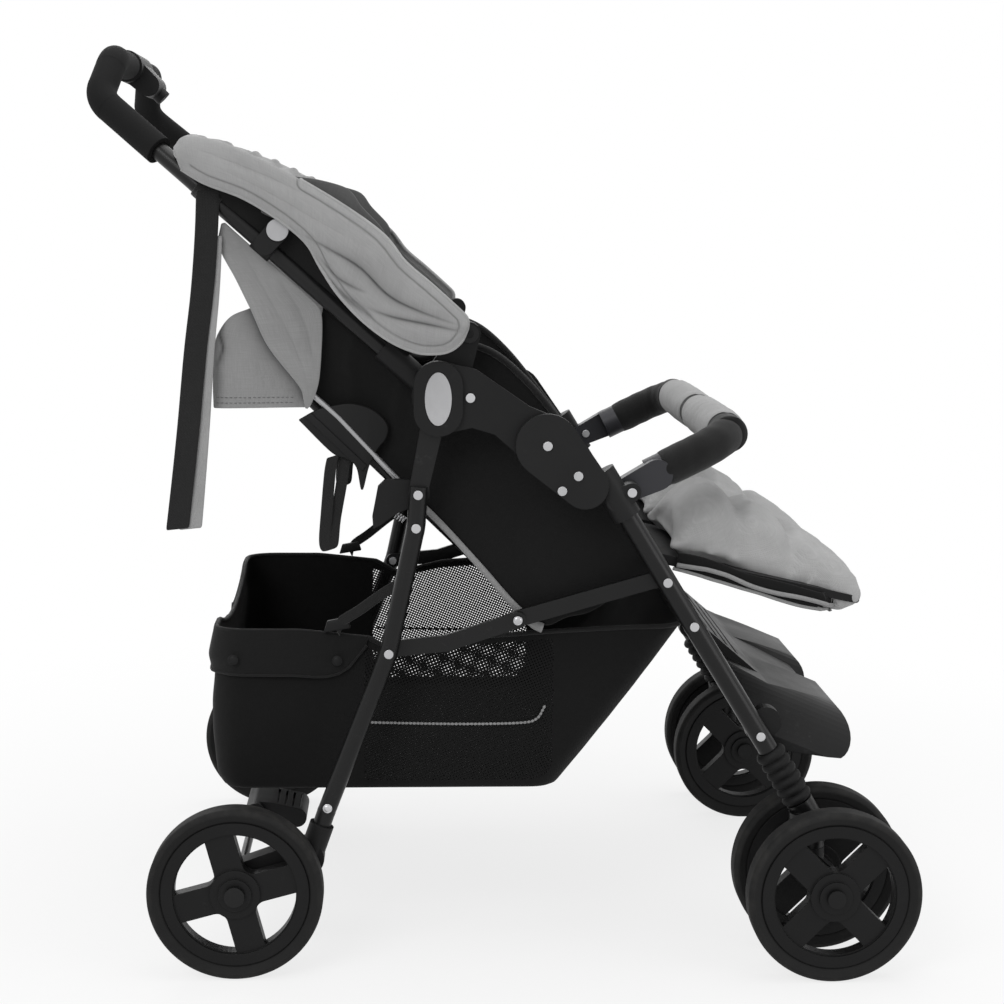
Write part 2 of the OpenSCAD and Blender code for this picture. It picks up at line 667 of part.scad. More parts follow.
// Backrests, hinged on the rear tube of the seat frame
back_y = [seat_gap / 2 + 18, rail_y - rail_bend - 14];
module back_frame() {
  foot = seat_rear + back_dir * 11;
  head = seat_rear + back_dir * back_len;
  color("#242424") difference() {
    union() {
      bent_tube([at(foot, -back_y[0]), at(head, -back_y[0]), at(head, -back_y[1]), at(foot, -back_y[1])],
        back_tube_r, 32);
      for (y = back_y) pin(seat_rear, y - 12, y + 12, cross_r + 4.5);
    }
    pin(seat_rear, 0, leg_y, cross_r + play);
  }
}
module back_pad() {
  o = seat_rear + back_dir * 46 + back_up * (back_tube_r + gap);
  color("#3a3a3a")
    multmatrix([[back_dir[0], 0, back_up[0], o[0]], [0, -1, 0, -seat_mid],
      [back_dir[1], 0, back_up[1], o[1]]])
      padded(back_len - 40, seat_half - 3, pad_t, pad_t + 2, 9, 7, [0.25, 0.5, 0.75], 0.4);
}

// Leg rests, hinged on the seat front tube, each with a padded cover
rest_dir = [cos(12), -sin(12)];
rest_up = [sin(12), cos(12)];
rest_len = 236;
module leg_board() {
  color("#1c1c1c") difference() {
    union() {
      for (y = [seat_gap / 2 + 26, rail_y - cross_r - 18]) pin(seat_front, y - 14, y + 14, cross_r + 4);
      slab(seat_gap / 2 + 6, seat_y - 6) polygon(concat(
        [seat_front + rest_dir * 10 - rest_up * 6, seat_front + rest_dir * rest_len - rest_up * 4],
        arc(seat_front + rest_dir * rest_len, 4, -100, 78, 6),
        [seat_front + rest_dir * 10 + rest_up * 5]));
    }
    pin(seat_front, 0, leg_y, cross_r + play);
  }
}
module leg_cover() {
  o = seat_front + rest_dir * 10 + rest_up * 5.4;
  color("#8f8f8f")
    multmatrix([[rest_dir[0], 0, rest_up[0], o[0]], [0, 1, 0, -seat_mid], [rest_dir[1], 0, rest_up[1], o[1]]])
      padded(rest_len - 4, seat_half - 4, 92, 26, 12, 6, [0.36, 0.64], 0.28);
}

// Bumper bar: a padded tube on two flat brackets that turn on their pins
module bumper_bar() {
  arm = (bumper_corner - bumper_pivot) / norm(bumper_corner - bumper_pivot);
  start = bumper_pivot + arm * 27;
  color("#222222") difference() {
    union() {
      bent_tube([at(start, -bumper_y), at(bumper_corner, -bumper_y), at(bumper_corner, bumper_y),
        at(start, bumper_y)], bumper_r, bumper_bend);
      both() slab(bracket_in, bumper_y + bumper_r)
        polygon(capsule(bumper_pivot, bumper_pivot + arm * 34, 14, 17));
    }
    both() pin(bumper_pivot, 0, leg_y, rivet_r);
  }
}
sleeve_r = bumper_r + 2.5;
sleeve_span = [11, bumper_y - bumper_bend - 3];
module bumper_sleeves() {
  color("#8c8c8c") both() difference() {
    rod(at(bumper_corner, -sleeve_span[0]), at(bumper_corner, -sleeve_span[1]), sleeve_r);
    rod(at(bumper_corner, 0), at(bumper_corner, -leg_y), bumper_r + play);
  }
}

// Front suspension, swivel head and caster
bellows_ribs = 6;
housing_r = 20;
housing_low = axle_z + 41;
stem_r = 7;
module strut() {
  color("#1e1e1e") difference() {
    union() {
      rod(at(on_leg(leg_len - strut_reach + 14), -leg_y), at(leg_bottom, -leg_y), strut_r);
      translate([head_x, -front_unit_y, housing_low]) cylinder(h = head_z + 2 - housing_low, r = housing_r);
      rod(at(on_leg(leg_full - 16), -leg_y), at(on_leg(leg_full + 6), -leg_y), strut_r + 7);
    }
    translate([head_x, -front_unit_y, housing_low - 1]) cylinder(h = 31, r = stem_r + play);
  }
}
module bellows() {
  len_free = bellows_len - 16 - 2 * gap;
  rib = len_free / bellows_ribs;
  d = leg_bottom - leg_top;
  color("#2c2c2c") translate(at(on_leg(leg_len + gap), -leg_y)) rotate([0, acos(d[1] / norm(d)), 0])
    rotate_extrude() polygon(concat([[strut_r + 1, 0]],
      [for (i = [0 : bellows_ribs - 1]) each [[13.5, rib * i], [17, rib * (i + 0.3)], [17, rib * (i + 0.7)]]],
      [[13.5, len_free], [strut_r + 1, len_free]]));
}
module caster() {
  axle = [wheelbase, axle_z];
  reach = pair_gap / 2 + tyre_w / 2 + 1;
  color("#222222") translate([0, -front_unit_y, 0]) {
    difference() {
      union() {
        translate([head_x, 0, housing_low - 22]) cylinder(h = 22 - gap, r = housing_r);
        translate([head_x, 0, housing_low - 10]) cylinder(h = 38, r = stem_r);
        across(17) polygon(capsule([head_x, housing_low - 12], axle, 10, 17));
        across(pair_gap / 2 - tyre_w / 2 - 1) translate(axle) circle(15);
      }
      across(reach) translate(axle) circle(axle_r + play);
    }
    across(reach) translate(axle) circle(axle_r);
    both() pin(axle, reach - 0.5, reach + 3, 10);
  }
}

// A spoked wheel and its tyre, standing in the XZ plane
rim_out = wheel_d / 2 - tyre_h;
rim_in = rim_out - rim_h;
spoke_fillet = 12;
function window() =
  let (h = spoke_w / 2, r = rim_in - 1.5, a = asin(h / r), f = [h + spoke_fillet, h + spoke_fillet])
  concat(arc(f, spoke_fillet, 270, 180, 8), arc([0, 0], r, 90 - a, a, 14));
module wheel(x, y, turn) {
  bulge = 6;
  translate([x, y, axle_z]) rotate([90, 0, 0]) rotate([0, 0, turn]) {
    color("#262626") difference() {
      union() {
        difference() {
          translate([0, 0, -11]) cylinder(h = 22, r = rim_out - play);
          translate([0, 0, -12]) linear_extrude(24) for (q = [0 : 90 : 270]) rotate(q) polygon(window());
          for (z = [-16, 8]) translate([0, 0, z]) difference() {
            cylinder(h = 8, r = rim_in);
            cylinder(h = 20, r = 27, center = true);
          }
        }
        translate([0, 0, -14]) cylinder(h = 28, r = 18);
      }
      cylinder(h = 60, r = axle_r + play, center = true);
    }
    color("#1a1a1a") rotate_extrude() polygon(concat(
      [[rim_out, tyre_w / 2 - bulge], [rim_out, bulge - tyre_w / 2]],
      arc([wheel_d / 2 - bulge, bulge - tyre_w / 2], bulge, -90, 0, 5),
      arc([wheel_d / 2 - bulge, tyre_w / 2 - bulge], bulge, 0, 90, 5)));
  }
}
front_turn = 45;
rear_turn = 15;
inner_y = front_unit_y - pair_gap / 2;
outer_y = front_unit_y + pair_gap / 2;

centred() front_leg();  // front_leg_right
centred() left() front_leg();  // front_leg_left
centred() armrest();  // armrest_right
centred() left() armrest();  // armrest_left
centred() leg_cap();  // leg_cap_right
centred() left() leg_cap();  // leg_cap_left
centred() hub_badges();
centred() frame_pins();
centred() footrest();
centred() seat_front_tube();
centred() basket_tube();
centred() seat_frame();
centred() seat_boards();
centred() seat_pad();  // seat_pad_right
centred() left() seat_pad();  // seat_pad_left
centred() side_panel();  // side_panel_right
centred() left() side_panel();  // side_panel_left
centred() basket();
centred() handle_tube();
centred() handle_knuckles();
centred() handle_grips();
centred() release_housing();
centred() release_button();
centred() rear_curtain();
centred() hand_strap();
centred() canopy_clips();
centred() clip_buttons();
centred() canopy_cover();
centred() canopy_bow();
centred() rear_leg();  // rear_leg_right
centred() left() rear_leg();  // rear_leg_left
centred() wheel_brackets();
centred() rear_axle();
centred() rear_pins();
centred() brake_pedal();
centred() fold_hooks();
centred() rear_links();
centred() front_links();
centred() back_frame();  // back_frame_right
centred() left() back_frame();  // back_frame_left
centred() back_pad();  // back_pad_right
centred() left() back_pad();  // back_pad_left
centred() leg_board();  // leg_board_right
centred() left() leg_board();  // leg_board_left
centred() leg_cover();  // leg_cover_right
centred() left() leg_cover();  // leg_cover_left
centred() bumper_bar();
centred() bumper_sleeves();
centred() strut();  // strut_right
centred() left() strut();  // strut_left
centred() bellows();  // bellows_right
centred() left() bellows();  // bellows_left
centred() caster();  // caster_right
centred() left() caster();  // caster_left
centred() wheel(wheelbase, -outer_y, front_turn);  // front_wheel_right_outer
centred() wheel(wheelbase, -inner_y, front_turn);  // front_wheel_right_inner
centred() wheel(wheelbase, inner_y, front_turn);  // front_wheel_left_inner
centred() wheel(wheelbase, outer_y, front_turn);  // front_wheel_left_outer
centred() wheel(0, -rear_wheel_y, rear_turn);  // rear_wheel_right
centred() wheel(0, rear_wheel_y, rear_turn);  // rear_wheel_left
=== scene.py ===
import bpy, bmesh, math
import numpy as np
from mathutils import Vector, Matrix, noise


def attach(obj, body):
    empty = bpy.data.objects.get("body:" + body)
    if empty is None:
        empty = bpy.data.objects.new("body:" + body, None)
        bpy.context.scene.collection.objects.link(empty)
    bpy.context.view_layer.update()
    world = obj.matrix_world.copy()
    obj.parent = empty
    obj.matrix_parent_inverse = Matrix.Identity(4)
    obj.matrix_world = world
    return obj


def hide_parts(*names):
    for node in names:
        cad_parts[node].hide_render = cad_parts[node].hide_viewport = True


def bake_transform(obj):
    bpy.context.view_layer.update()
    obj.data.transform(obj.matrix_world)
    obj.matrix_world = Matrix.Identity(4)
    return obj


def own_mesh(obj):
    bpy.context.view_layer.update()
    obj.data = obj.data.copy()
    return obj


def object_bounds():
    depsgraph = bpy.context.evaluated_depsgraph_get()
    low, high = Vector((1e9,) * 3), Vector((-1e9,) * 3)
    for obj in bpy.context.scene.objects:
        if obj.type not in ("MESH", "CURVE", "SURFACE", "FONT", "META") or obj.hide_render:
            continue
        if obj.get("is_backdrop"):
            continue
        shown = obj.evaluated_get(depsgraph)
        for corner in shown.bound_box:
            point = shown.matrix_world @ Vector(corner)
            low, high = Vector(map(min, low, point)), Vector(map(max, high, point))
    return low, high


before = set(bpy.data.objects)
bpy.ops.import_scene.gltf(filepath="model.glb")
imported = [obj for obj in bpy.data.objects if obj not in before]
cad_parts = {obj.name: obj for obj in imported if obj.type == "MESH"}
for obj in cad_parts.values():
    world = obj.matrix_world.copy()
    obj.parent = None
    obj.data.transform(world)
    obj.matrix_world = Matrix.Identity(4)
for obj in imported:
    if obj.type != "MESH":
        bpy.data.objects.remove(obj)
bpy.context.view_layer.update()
scene = bpy.context.scene

# Studio: the photographer's camera stands level with the canopy, side on to the pram.
# A pale sweep of floor and air is lit by a large soft lamp at the left, one above, a low fill
# at the right and one behind, so that black cloth and black tube keep their shapes.
axle_to_origin = 290.605
both_sides = (("right", -1), ("left", 1))


def spot(x, z, y=0.0):
    """A place in millimetres from the rear axle, as metres in the shared frame."""
    return Vector(((x - axle_to_origin) / 1000, y / 1000, z / 1000))


def feed(tree, node, feeds):
    """Gives a node's inputs their values, or links them to an output or a node's first output."""
    for k, v in dict(feeds).items():
        v = v.outputs[0] if isinstance(v, bpy.types.Node) else v
        if isinstance(v, bpy.types.NodeSocket):
            tree.links.new(v, node.inputs[k])
        else:
            node.inputs[k].default_value = v
    return node


def place(tree, kind, feeds=(), **sets):
    made = tree.nodes.new(kind)
    for k, v in sets.items():
        setattr(made, k, v)
    return feed(tree, made, feeds)


def calc(tree, operation, *terms):
    return place(tree, "ShaderNodeMath", enumerate(terms), operation=operation)


def vec(tree, operation, first, second=None):
    second_input = 3 if operation == "SCALE" else 1
    feeds = {0: first} if second is None else {0: first, second_input: second}
    return place(tree, "ShaderNodeVectorMath", feeds, operation=operation)


def remap(tree, value, low, high, first=0.0, last=1.0, kind="LINEAR"):
    return place(tree, "ShaderNodeMapRange", enumerate((value, low, high, first, last)), interpolation_type=kind)


def added(name, data):
    obj = bpy.data.objects.new(name, data)
    scene.collection.objects.link(obj)
    return obj


yaw, pitch, roll = (math.radians(a) for a in (2.79, 8.52, 0.53))
look = Vector((math.sin(yaw) * math.cos(pitch), math.cos(yaw) * math.cos(pitch), -math.sin(pitch)))
level = Vector((math.cos(yaw), -math.sin(yaw), 0))
rise = level.cross(look)
cam_side = level * math.cos(roll) + rise * math.sin(roll)
cam_top = rise * math.cos(roll) - level * math.sin(roll)
camera_at = spot(185, 828, -2360)
camera = added("photo_camera", bpy.data.cameras.new("photo_camera"))
camera.data.lens, camera.data.sensor_width = 70.17, 36
turn = Matrix((cam_side, cam_top, -look)).transposed().to_4x4()
camera.matrix_world = Matrix.Translation(camera_at) @ turn
scene.camera = camera
scene.view_settings.view_transform = "Standard"


def seen_rays(tree):
    path = place(tree, "ShaderNodeLightPath")
    both = calc(tree, "MAXIMUM", path.outputs["Is Camera Ray"], path.outputs["Is Glossy Ray"])
    return calc(tree, "MAXIMUM", both, path.outputs["Is Transmission Ray"])


air = bpy.data.worlds.new("studio_air")
scene.world = air
air.use_nodes = True
air_tree = air.node_tree
air_tree.nodes.clear()
dim = place(air_tree, "ShaderNodeBackground", {"Color": (1, 1, 1, 1), "Strength": 0.42})
white = place(air_tree, "ShaderNodeBackground", {"Color": (1, 1, 1, 1), "Strength": 1.0})
air_mix = place(air_tree, "ShaderNodeMixShader", {0: seen_rays(air_tree), 1: dim, 2: white})
place(air_tree, "ShaderNodeOutputWorld", {0: air_mix})

floor_mesh = bpy.data.meshes.new("studio_floor")
floor_half, floor_z = 9, -0.0004
floor_corners = [(x * floor_half, y * floor_half, floor_z) for x, y in ((-1, -1), (1, -1), (1, 1), (-1, 1))]
floor_mesh.from_pydata(floor_corners, [], [(0, 1, 2, 3)])
floor = added("studio_floor", floor_mesh)
paper = bpy.data.materials.new("studio_paper")
paper.use_nodes = True
paper_tree = paper.node_tree
paper_tree.nodes.clear()
paper_lit = place(paper_tree, "ShaderNodeBsdfDiffuse", {"Color": (0.9, 0.9, 0.9, 1)})
paper_glow = place(paper_tree, "ShaderNodeEmission", {"Color": (1, 1, 1, 1), "Strength": 1.0})
paper_at = place(paper_tree, "ShaderNodeTexCoord")
paper_far = vec(paper_tree, "LENGTH", paper_at.outputs["Object"])
paper_fade = remap(paper_tree, paper_far.outputs["Value"], 0.5, 1.5, 0.78, 1.0, kind="SMOOTHSTEP")
share = calc(paper_tree, "MULTIPLY", seen_rays(paper_tree), paper_fade)
paper_mix = place(paper_tree, "ShaderNodeMixShader", {0: share, 1: paper_lit, 2: paper_glow})
place(paper_tree, "ShaderNodeOutputMaterial", {0: paper_mix})
floor_mesh.materials.append(paper)
floor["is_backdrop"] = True

for name, at, aim, size, power in (("key_lamp", (-1.5, -2.6, 2.3), (0, 0, 0.5), 1.6, 40),
                                   ("top_lamp", (0.2, 0.1, 2.9), (0, 0, 0.4), 2.2, 34),
                                   ("fill_lamp", (2.4, -1.7, 1.0), (0.1, 0, 0.4), 1.4, 14),
                                   ("back_lamp", (-0.9, 2.6, 1.9), (0, 0, 0.6), 1.6, 18)):
    lamp = bpy.data.lights.new(name, "AREA")
    lamp.size, lamp.energy = size, power
    holder = added(name, lamp)
    holder.location = at
    holder.rotation_euler = (Vector(aim) - Vector(at)).to_track_quat("-Z", "Y").to_euler()

# Tube frame: round steel tube, bent cold and powder coated black. Legs, rails, handle,
# canopy bow, axle and the flat side links share the coat, which has a fine orange peel and
# is rubbed a little paler where hands and straps pass.


def mix(tree, share, first, last, kind="RGBA"):
    a, b, out = {"RGBA": (6, 7, 2), "FLOAT": (2, 3, 0)}[kind]
    return place(tree, "ShaderNodeMix", {0: share, a: first, b: last}, data_type=kind).outputs[out]


def shader_group(name, takes, gives):
    group = bpy.data.node_groups.new(name, "ShaderNodeTree")
    for label, kind, value in takes:
        socket = group.interface.new_socket(label, in_out="INPUT", socket_type="NodeSocket" + kind)
        if value is not None:
            socket.default_value = value
    for label, kind in gives:
        group.interface.new_socket(label, in_out="OUTPUT", socket_type="NodeSocket" + kind)
    return group, group.nodes.new("NodeGroupInput"), group.nodes.new("NodeGroupOutput")


hard_skin, hs_in, hs_out = shader_group("hard_skin", [
    ("Place", "Vector", None), ("Colour", "Color", (0.02, 0.02, 0.02, 1)), ("Rubbed", "Color", (0.06, 0.06, 0.06, 1)),
    ("Grain Scale", "Float", 900.0), ("Roughness", "Float", 0.5), ("Rub", "Float", 0.3)],
    [("Colour", "Color"), ("Roughness", "Float"), ("Height", "Float")])
grain = place(hard_skin, "ShaderNodeTexNoise",
              {"Vector": hs_in.outputs["Place"], "Scale": hs_in.outputs["Grain Scale"], "Detail": 3.0})
cloudy = place(hard_skin, "ShaderNodeTexNoise",
               {"Vector": hs_in.outputs["Place"], "Scale": 11.0, "Detail": 5.0, "Roughness": 0.6})
scuffs = place(hard_skin, "ShaderNodeTexNoise",
               {"Vector": hs_in.outputs["Place"], "Scale": 130.0, "Detail": 4.0, "Distortion": 1.5})
worn = remap(hard_skin, scuffs, 0.60, 0.74)
patch = remap(hard_skin, cloudy, 0.48, 0.66)
rubbed = calc(hard_skin, "MULTIPLY", worn, patch)
rub = calc(hard_skin, "MULTIPLY", rubbed, hs_in.outputs["Rub"])
tint = mix(hard_skin, rub, hs_in.outputs["Colour"], hs_in.outputs["Rubbed"])
shade = remap(hard_skin, cloudy, 0.2, 0.8, 0.82, 1.18)
hard_colour = vec(hard_skin, "SCALE", tint, shade)
swing = remap(hard_skin, cloudy, 0.2, 0.8, -0.09, 0.11)
hard_rough = calc(hard_skin, "ADD", hs_in.outputs["Roughness"], swing)
feed(hard_skin, hs_out, {"Colour": hard_colour, "Roughness": hard_rough, "Height": grain})


def hard_finish(name, colour, rough, grain_scale=900.0, depth=0.0001, rub=0.3, rubbed=0.07, metal=0.0, edge=0.0012,
                coat=0.0):
    """A hard surface on its own place in the frame, with softened corners and faint wear."""
    mat = bpy.data.materials.new(name)
    mat.use_nodes = True
    tree = mat.node_tree
    bsdf = tree.nodes["Principled BSDF"]
    where = place(tree, "ShaderNodeTexCoord")
    skin = place(tree, "ShaderNodeGroup", {
        "Place": where.outputs["Object"], "Colour": (colour, colour, 1.02 * colour, 1),
        "Rubbed": (rubbed, rubbed, rubbed, 1), "Grain Scale": grain_scale, "Roughness": rough, "Rub": rub},
        node_tree=hard_skin)
    corner = place(tree, "ShaderNodeBevel", {"Radius": edge}, samples=4)
    bump = place(tree, "ShaderNodeBump", {"Strength": 0.5, "Distance": depth, "Height": skin.outputs["Height"],
                                          "Normal": corner})
    feed(tree, bsdf, {
        "Base Color": skin.outputs["Colour"], "Roughness": skin.outputs["Roughness"], "Normal": bump,
        "Metallic": metal, "Specular IOR Level": 0.5 if metal else 0.16, "Coat Weight": coat, "Coat Roughness": 0.25})
    return mat


def dress(finish, *names):
    for n in names:
        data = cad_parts[n].data
        data.materials.clear()
        data.materials.append(finish)


black_coat = hard_finish("black_powder_coat", 0.006, 0.34, 1500.0, 0.00006, 0.5, 0.025, coat=0.15)
dress(black_coat, "front_leg_right", "front_leg_left", "seat_front_tube", "basket_tube", "seat_frame", "handle_tube",
      "canopy_bow", "rear_leg_right", "rear_leg_left", "rear_links", "front_links", "rear_axle",
      "back_frame_right", "back_frame_left", "strut_right", "strut_left")

# Mouldings: armrests with their oval hub, leg caps, hub knuckles, clips, brackets, footrest, hooks,
# casters, boards and the release button in its housing, injection moulded in black nylon with a
# fine spark grain.
black_nylon = hard_finish("black_nylon", 0.009, 0.5, 1100.0, 0.00012, 0.35, 0.032)
dress(black_nylon, "armrest_right", "armrest_left", "handle_knuckles", "canopy_clips", "wheel_brackets", "fold_hooks",
      "caster_right", "caster_left", "release_housing", "release_button", "brake_pedal",
      "leg_board_right", "leg_board_left", "seat_boards")
dress(hard_finish("cap_nylon", 0.011, 0.46, 900.0, 0.00012, 0.3, 0.035), "leg_cap_right", "leg_cap_left")
dress(hard_finish("footrest_nylon", 0.009, 0.42, 700.0, 0.00015, 0.45, 0.03), "footrest")

# Oval inlays and canopy clip buttons: pressed or snapped in, moulded in a satin grey that the trim
# cloth is matched to.
satin_grey = hard_finish("satin_grey_plastic", 0.40, 0.42, 1600.0, 0.00004, 0.2, 0.55, edge=0.0008)
dress(satin_grey, "hub_badges", "clip_buttons")

# Rivets and hub pins: steel, nickel plated, with a drawn head that is a little dulled.
plated_steel = hard_finish("plated_steel", 0.5, 0.3, 2200.0, 0.00003, 0.6, 0.35, metal=1.0, edge=0.0009)
dress(plated_steel, "frame_pins", "rear_pins")

# Handle grips: black foam tube pushed over the bent handle, closed-cell and matt.
foam = hard_finish("grip_foam", 0.008, 0.86, 620.0, 0.0005, 0.25, 0.02, edge=0.002)
dress(foam, "handle_grips")

# Wheels: a moulded nylon rim with four spokes in a solid foam tyre. The tyre begins 80 mm from
# the axle and is matt and grained, with dust near the tread. The rim has a soft shine.
wheelbase, wheel_radius = 648, 95
tyre_from, groove_half = 0.08, 0.0012
for name, wheel_x in (("front_wheel", wheelbase), ("rear_wheel", 0)):
    wheel = hard_finish(name + "_rim_and_tyre", 0.007, 0.42, 800.0, 0.0001, 0.3, 0.022)
    tree = wheel.node_tree
    bsdf = tree.nodes["Principled BSDF"]
    skin = next(n for n in tree.nodes if n.type == "GROUP")
    bump = next(n for n in tree.nodes if n.type == "BUMP")
    where = next(n for n in tree.nodes if n.type == "TEX_COORD")
    hub_at = spot(wheel_x, wheel_radius)
    moved = vec(tree, "SUBTRACT", where.outputs["Object"], hub_at)
    flat = vec(tree, "MULTIPLY", moved, (1, 0, 1))
    radius = vec(tree, "LENGTH", flat)
    on_tyre = remap(tree, radius.outputs["Value"], tyre_from - 0.0003, tyre_from + 0.0003)
    seam = remap(tree, radius.outputs["Value"], tyre_from - groove_half, tyre_from, kind="SMOOTHSTEP")
    seam_end = remap(tree, radius.outputs["Value"], tyre_from, tyre_from + groove_half, 1.0, 0.0, kind="SMOOTHSTEP")
    groove = calc(tree, "MULTIPLY", seam, seam_end)
    dust = place(tree, "ShaderNodeTexNoise", {"Vector": where.outputs["Object"], "Scale": 60.0, "Detail": 6.0})
    dusty = remap(tree, dust, 0.42, 0.75, 0.0, 0.5)
    near_tread = remap(tree, radius.outputs["Value"], 0.087, 0.095, 0.1, 1.0)
    dusted = calc(tree, "MULTIPLY", dusty, near_tread)
    foam_colour = mix(tree, dusted, (0.014, 0.014, 0.014, 1), (0.05, 0.048, 0.045, 1))
    body_colour = mix(tree, on_tyre, skin.outputs["Colour"], foam_colour)
    # Painted shade: the groove where the tyre meets the rim is darkened in colour, as well as sunk by the bump.
    painted_seam_shade = mix(tree, groove, body_colour, (0.003, 0.003, 0.003, 1))
    tyre_rough = mix(tree, on_tyre, skin.outputs["Roughness"], 0.74, kind="FLOAT")
    tread = place(tree, "ShaderNodeTexNoise", {"Vector": where.outputs["Object"], "Scale": 420.0, "Detail": 4.0})
    height = mix(tree, on_tyre, skin.outputs["Height"], tread, kind="FLOAT")
    sunk = calc(tree, "SUBTRACT", height, groove)
    feed(tree, bsdf, {"Base Color": painted_seam_shade, "Roughness": tyre_rough})
    feed(tree, bump, {"Height": sunk, "Distance": 0.0003})
    dress(wheel, *[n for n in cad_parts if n.startswith(name)])

# Suspension bellows: black rubber boots with six ribs, slipped over each front strut between the
# leg and the caster head. Each keeps its shape and moves with its suspension.


def geo_tree(name, takes):
    tree = bpy.data.node_groups.new(name, "GeometryNodeTree")
    tree.interface.new_socket("Geometry", in_out="INPUT", socket_type="NodeSocketGeometry")
    for label, kind, value in takes:
        tree.interface.new_socket(label, in_out="INPUT", socket_type="NodeSocket" + kind).default_value = value
    tree.interface.new_socket("Finish", in_out="INPUT", socket_type="NodeSocketMaterial")
    tree.interface.new_socket("Geometry", in_out="OUTPUT", socket_type="NodeSocketGeometry")
    return tree, tree.nodes.new("NodeGroupInput"), tree.nodes.new("NodeGroupOutput")


def end_tree(tree, made, takes, gives):
    real = place(tree, "GeometryNodeRealizeInstances", {0: made})
    soft = place(tree, "GeometryNodeSetShadeSmooth", {0: real})
    done = place(tree, "GeometryNodeSetMaterial", {"Geometry": soft, "Material": takes.outputs["Finish"]})
    feed(tree, gives, {0: done})


def fine_line(tree, takes, **step):
    """The lines that a tree is given, cut evenly by count or by length."""
    line = place(tree, "GeometryNodeMeshToCurve", {0: takes.outputs["Geometry"]})
    return place(tree, "GeometryNodeResampleCurve", {"Curve": line, **step}, mode=[*step][0].upper())


def swept(tree, line, size, sides):
    ring = place(tree, "GeometryNodeCurvePrimitiveCircle", {"Resolution": sides, "Radius": 1.0})
    return place(tree, "GeometryNodeCurveToMesh",
                 {"Curve": line, "Profile Curve": ring, "Scale": size, "Fill Caps": True})


def settle(obj):
    """Keeps what the modifiers make as a plain mesh."""
    made = bpy.data.meshes.new_from_object(obj.evaluated_get(bpy.context.evaluated_depsgraph_get()))
    obj.modifiers.clear()
    obj.data = made
    return obj


def grow(name, tree, lines, finish, **sizes):
    """Runs a node tree along lines of places."""
    mesh = bpy.data.meshes.new(name)
    verts, edges = [], []
    for line in lines:
        edges += [(len(verts) + i, len(verts) + i + 1) for i in range(len(line) - 1)]
        verts += [tuple(p) for p in line]
    mesh.from_pydata(verts, edges, [])
    obj = added(name, mesh)
    step = obj.modifiers.new("made_by_rule", "NODES")
    step.node_group = tree
    sizes["Finish"] = finish
    for item in tree.interface.items_tree:
        if item.in_out == "INPUT" and item.name.replace(" ", "_") in sizes:
            step[item.identifier] = sizes[item.name.replace(" ", "_")]
    return settle(obj)


boot, boot_in, boot_out = geo_tree("ribbed_boot",
                                   [("Ribs", "Int", 6), ("Neck", "Float", 0.013), ("Rib Height", "Float", 0.0042)])
boot_fine = fine_line(boot, boot_in, Count=97)
boot_along = place(boot, "GeometryNodeSplineParameter")
boot_turns = calc(boot, "MULTIPLY", boot_along.outputs["Factor"], boot_in.outputs["Ribs"])
boot_part = calc(boot, "FRACT", boot_turns)
boot_half = calc(boot, "MULTIPLY", boot_part, math.pi)
boot_wave = calc(boot, "SINE", boot_half)
boot_full = calc(boot, "POWER", boot_wave, 0.7)
boot_swell = calc(boot, "MULTIPLY_ADD", boot_full, boot_in.outputs["Rib Height"], boot_in.outputs["Neck"])
end_tree(boot, swept(boot, boot_fine, boot_swell, 30), boot_in, boot_out)
boot_rubber = hard_finish("boot_rubber", 0.007, 0.6, 700.0, 0.0001, 0.35, 0.025)
leg_run = Vector((0.52611, 0, -0.85040))
leg_y, boot_from, boot_to = 288, 0.3573, 0.4245
for s, side_y in both_sides:
    leg_head = spot(394, 546, leg_y * side_y)
    high, low = leg_head + leg_run * boot_from, leg_head + leg_run * boot_to
    sleeve = grow("bellows_boot_" + s, boot, [[high, low]], boot_rubber)
    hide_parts("bellows_" + s)
    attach(sleeve, "suspension_" + s)
    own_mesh(sleeve)

# Shopping basket: black polyester sewn as a bag with a flat floor, a slanted front and a net
# window in each side. It hangs from the cross tube and the rear legs, its top edge is bound,
# and a snapped flap folds over each rear corner.


def trace(points, count):
    """Evenly spaced places on a smooth line through the given ones."""
    p = np.array(points, float)
    ext = np.vstack([2 * p[0] - p[1], p, 2 * p[-1] - p[-2]])
    fine = []
    for i in range(len(p) - 1):
        a, b, c, d = ext[i:i + 4]
        for t in np.linspace(0, 1, 20, endpoint=False):
            fine.append(0.5 * (2 * b + (c - a) * t + (2 * a - 5 * b + 4 * c - d) * t ** 2
                               + (3 * b - a - 3 * c + d) * t ** 3))
    fine = np.array(fine + [p[-1]])
    run = np.concatenate([[0], np.cumsum(np.linalg.norm(np.diff(fine, axis=0), axis=1))])
    return np.stack([np.interp(np.linspace(0, run[-1], count), run, fine[:, k]) for k in range(p.shape[1])], 1)


def crumple(p, scale, depth):
    return depth * noise.fractal(Vector(p) * scale, 1.0, 2.0, 3)


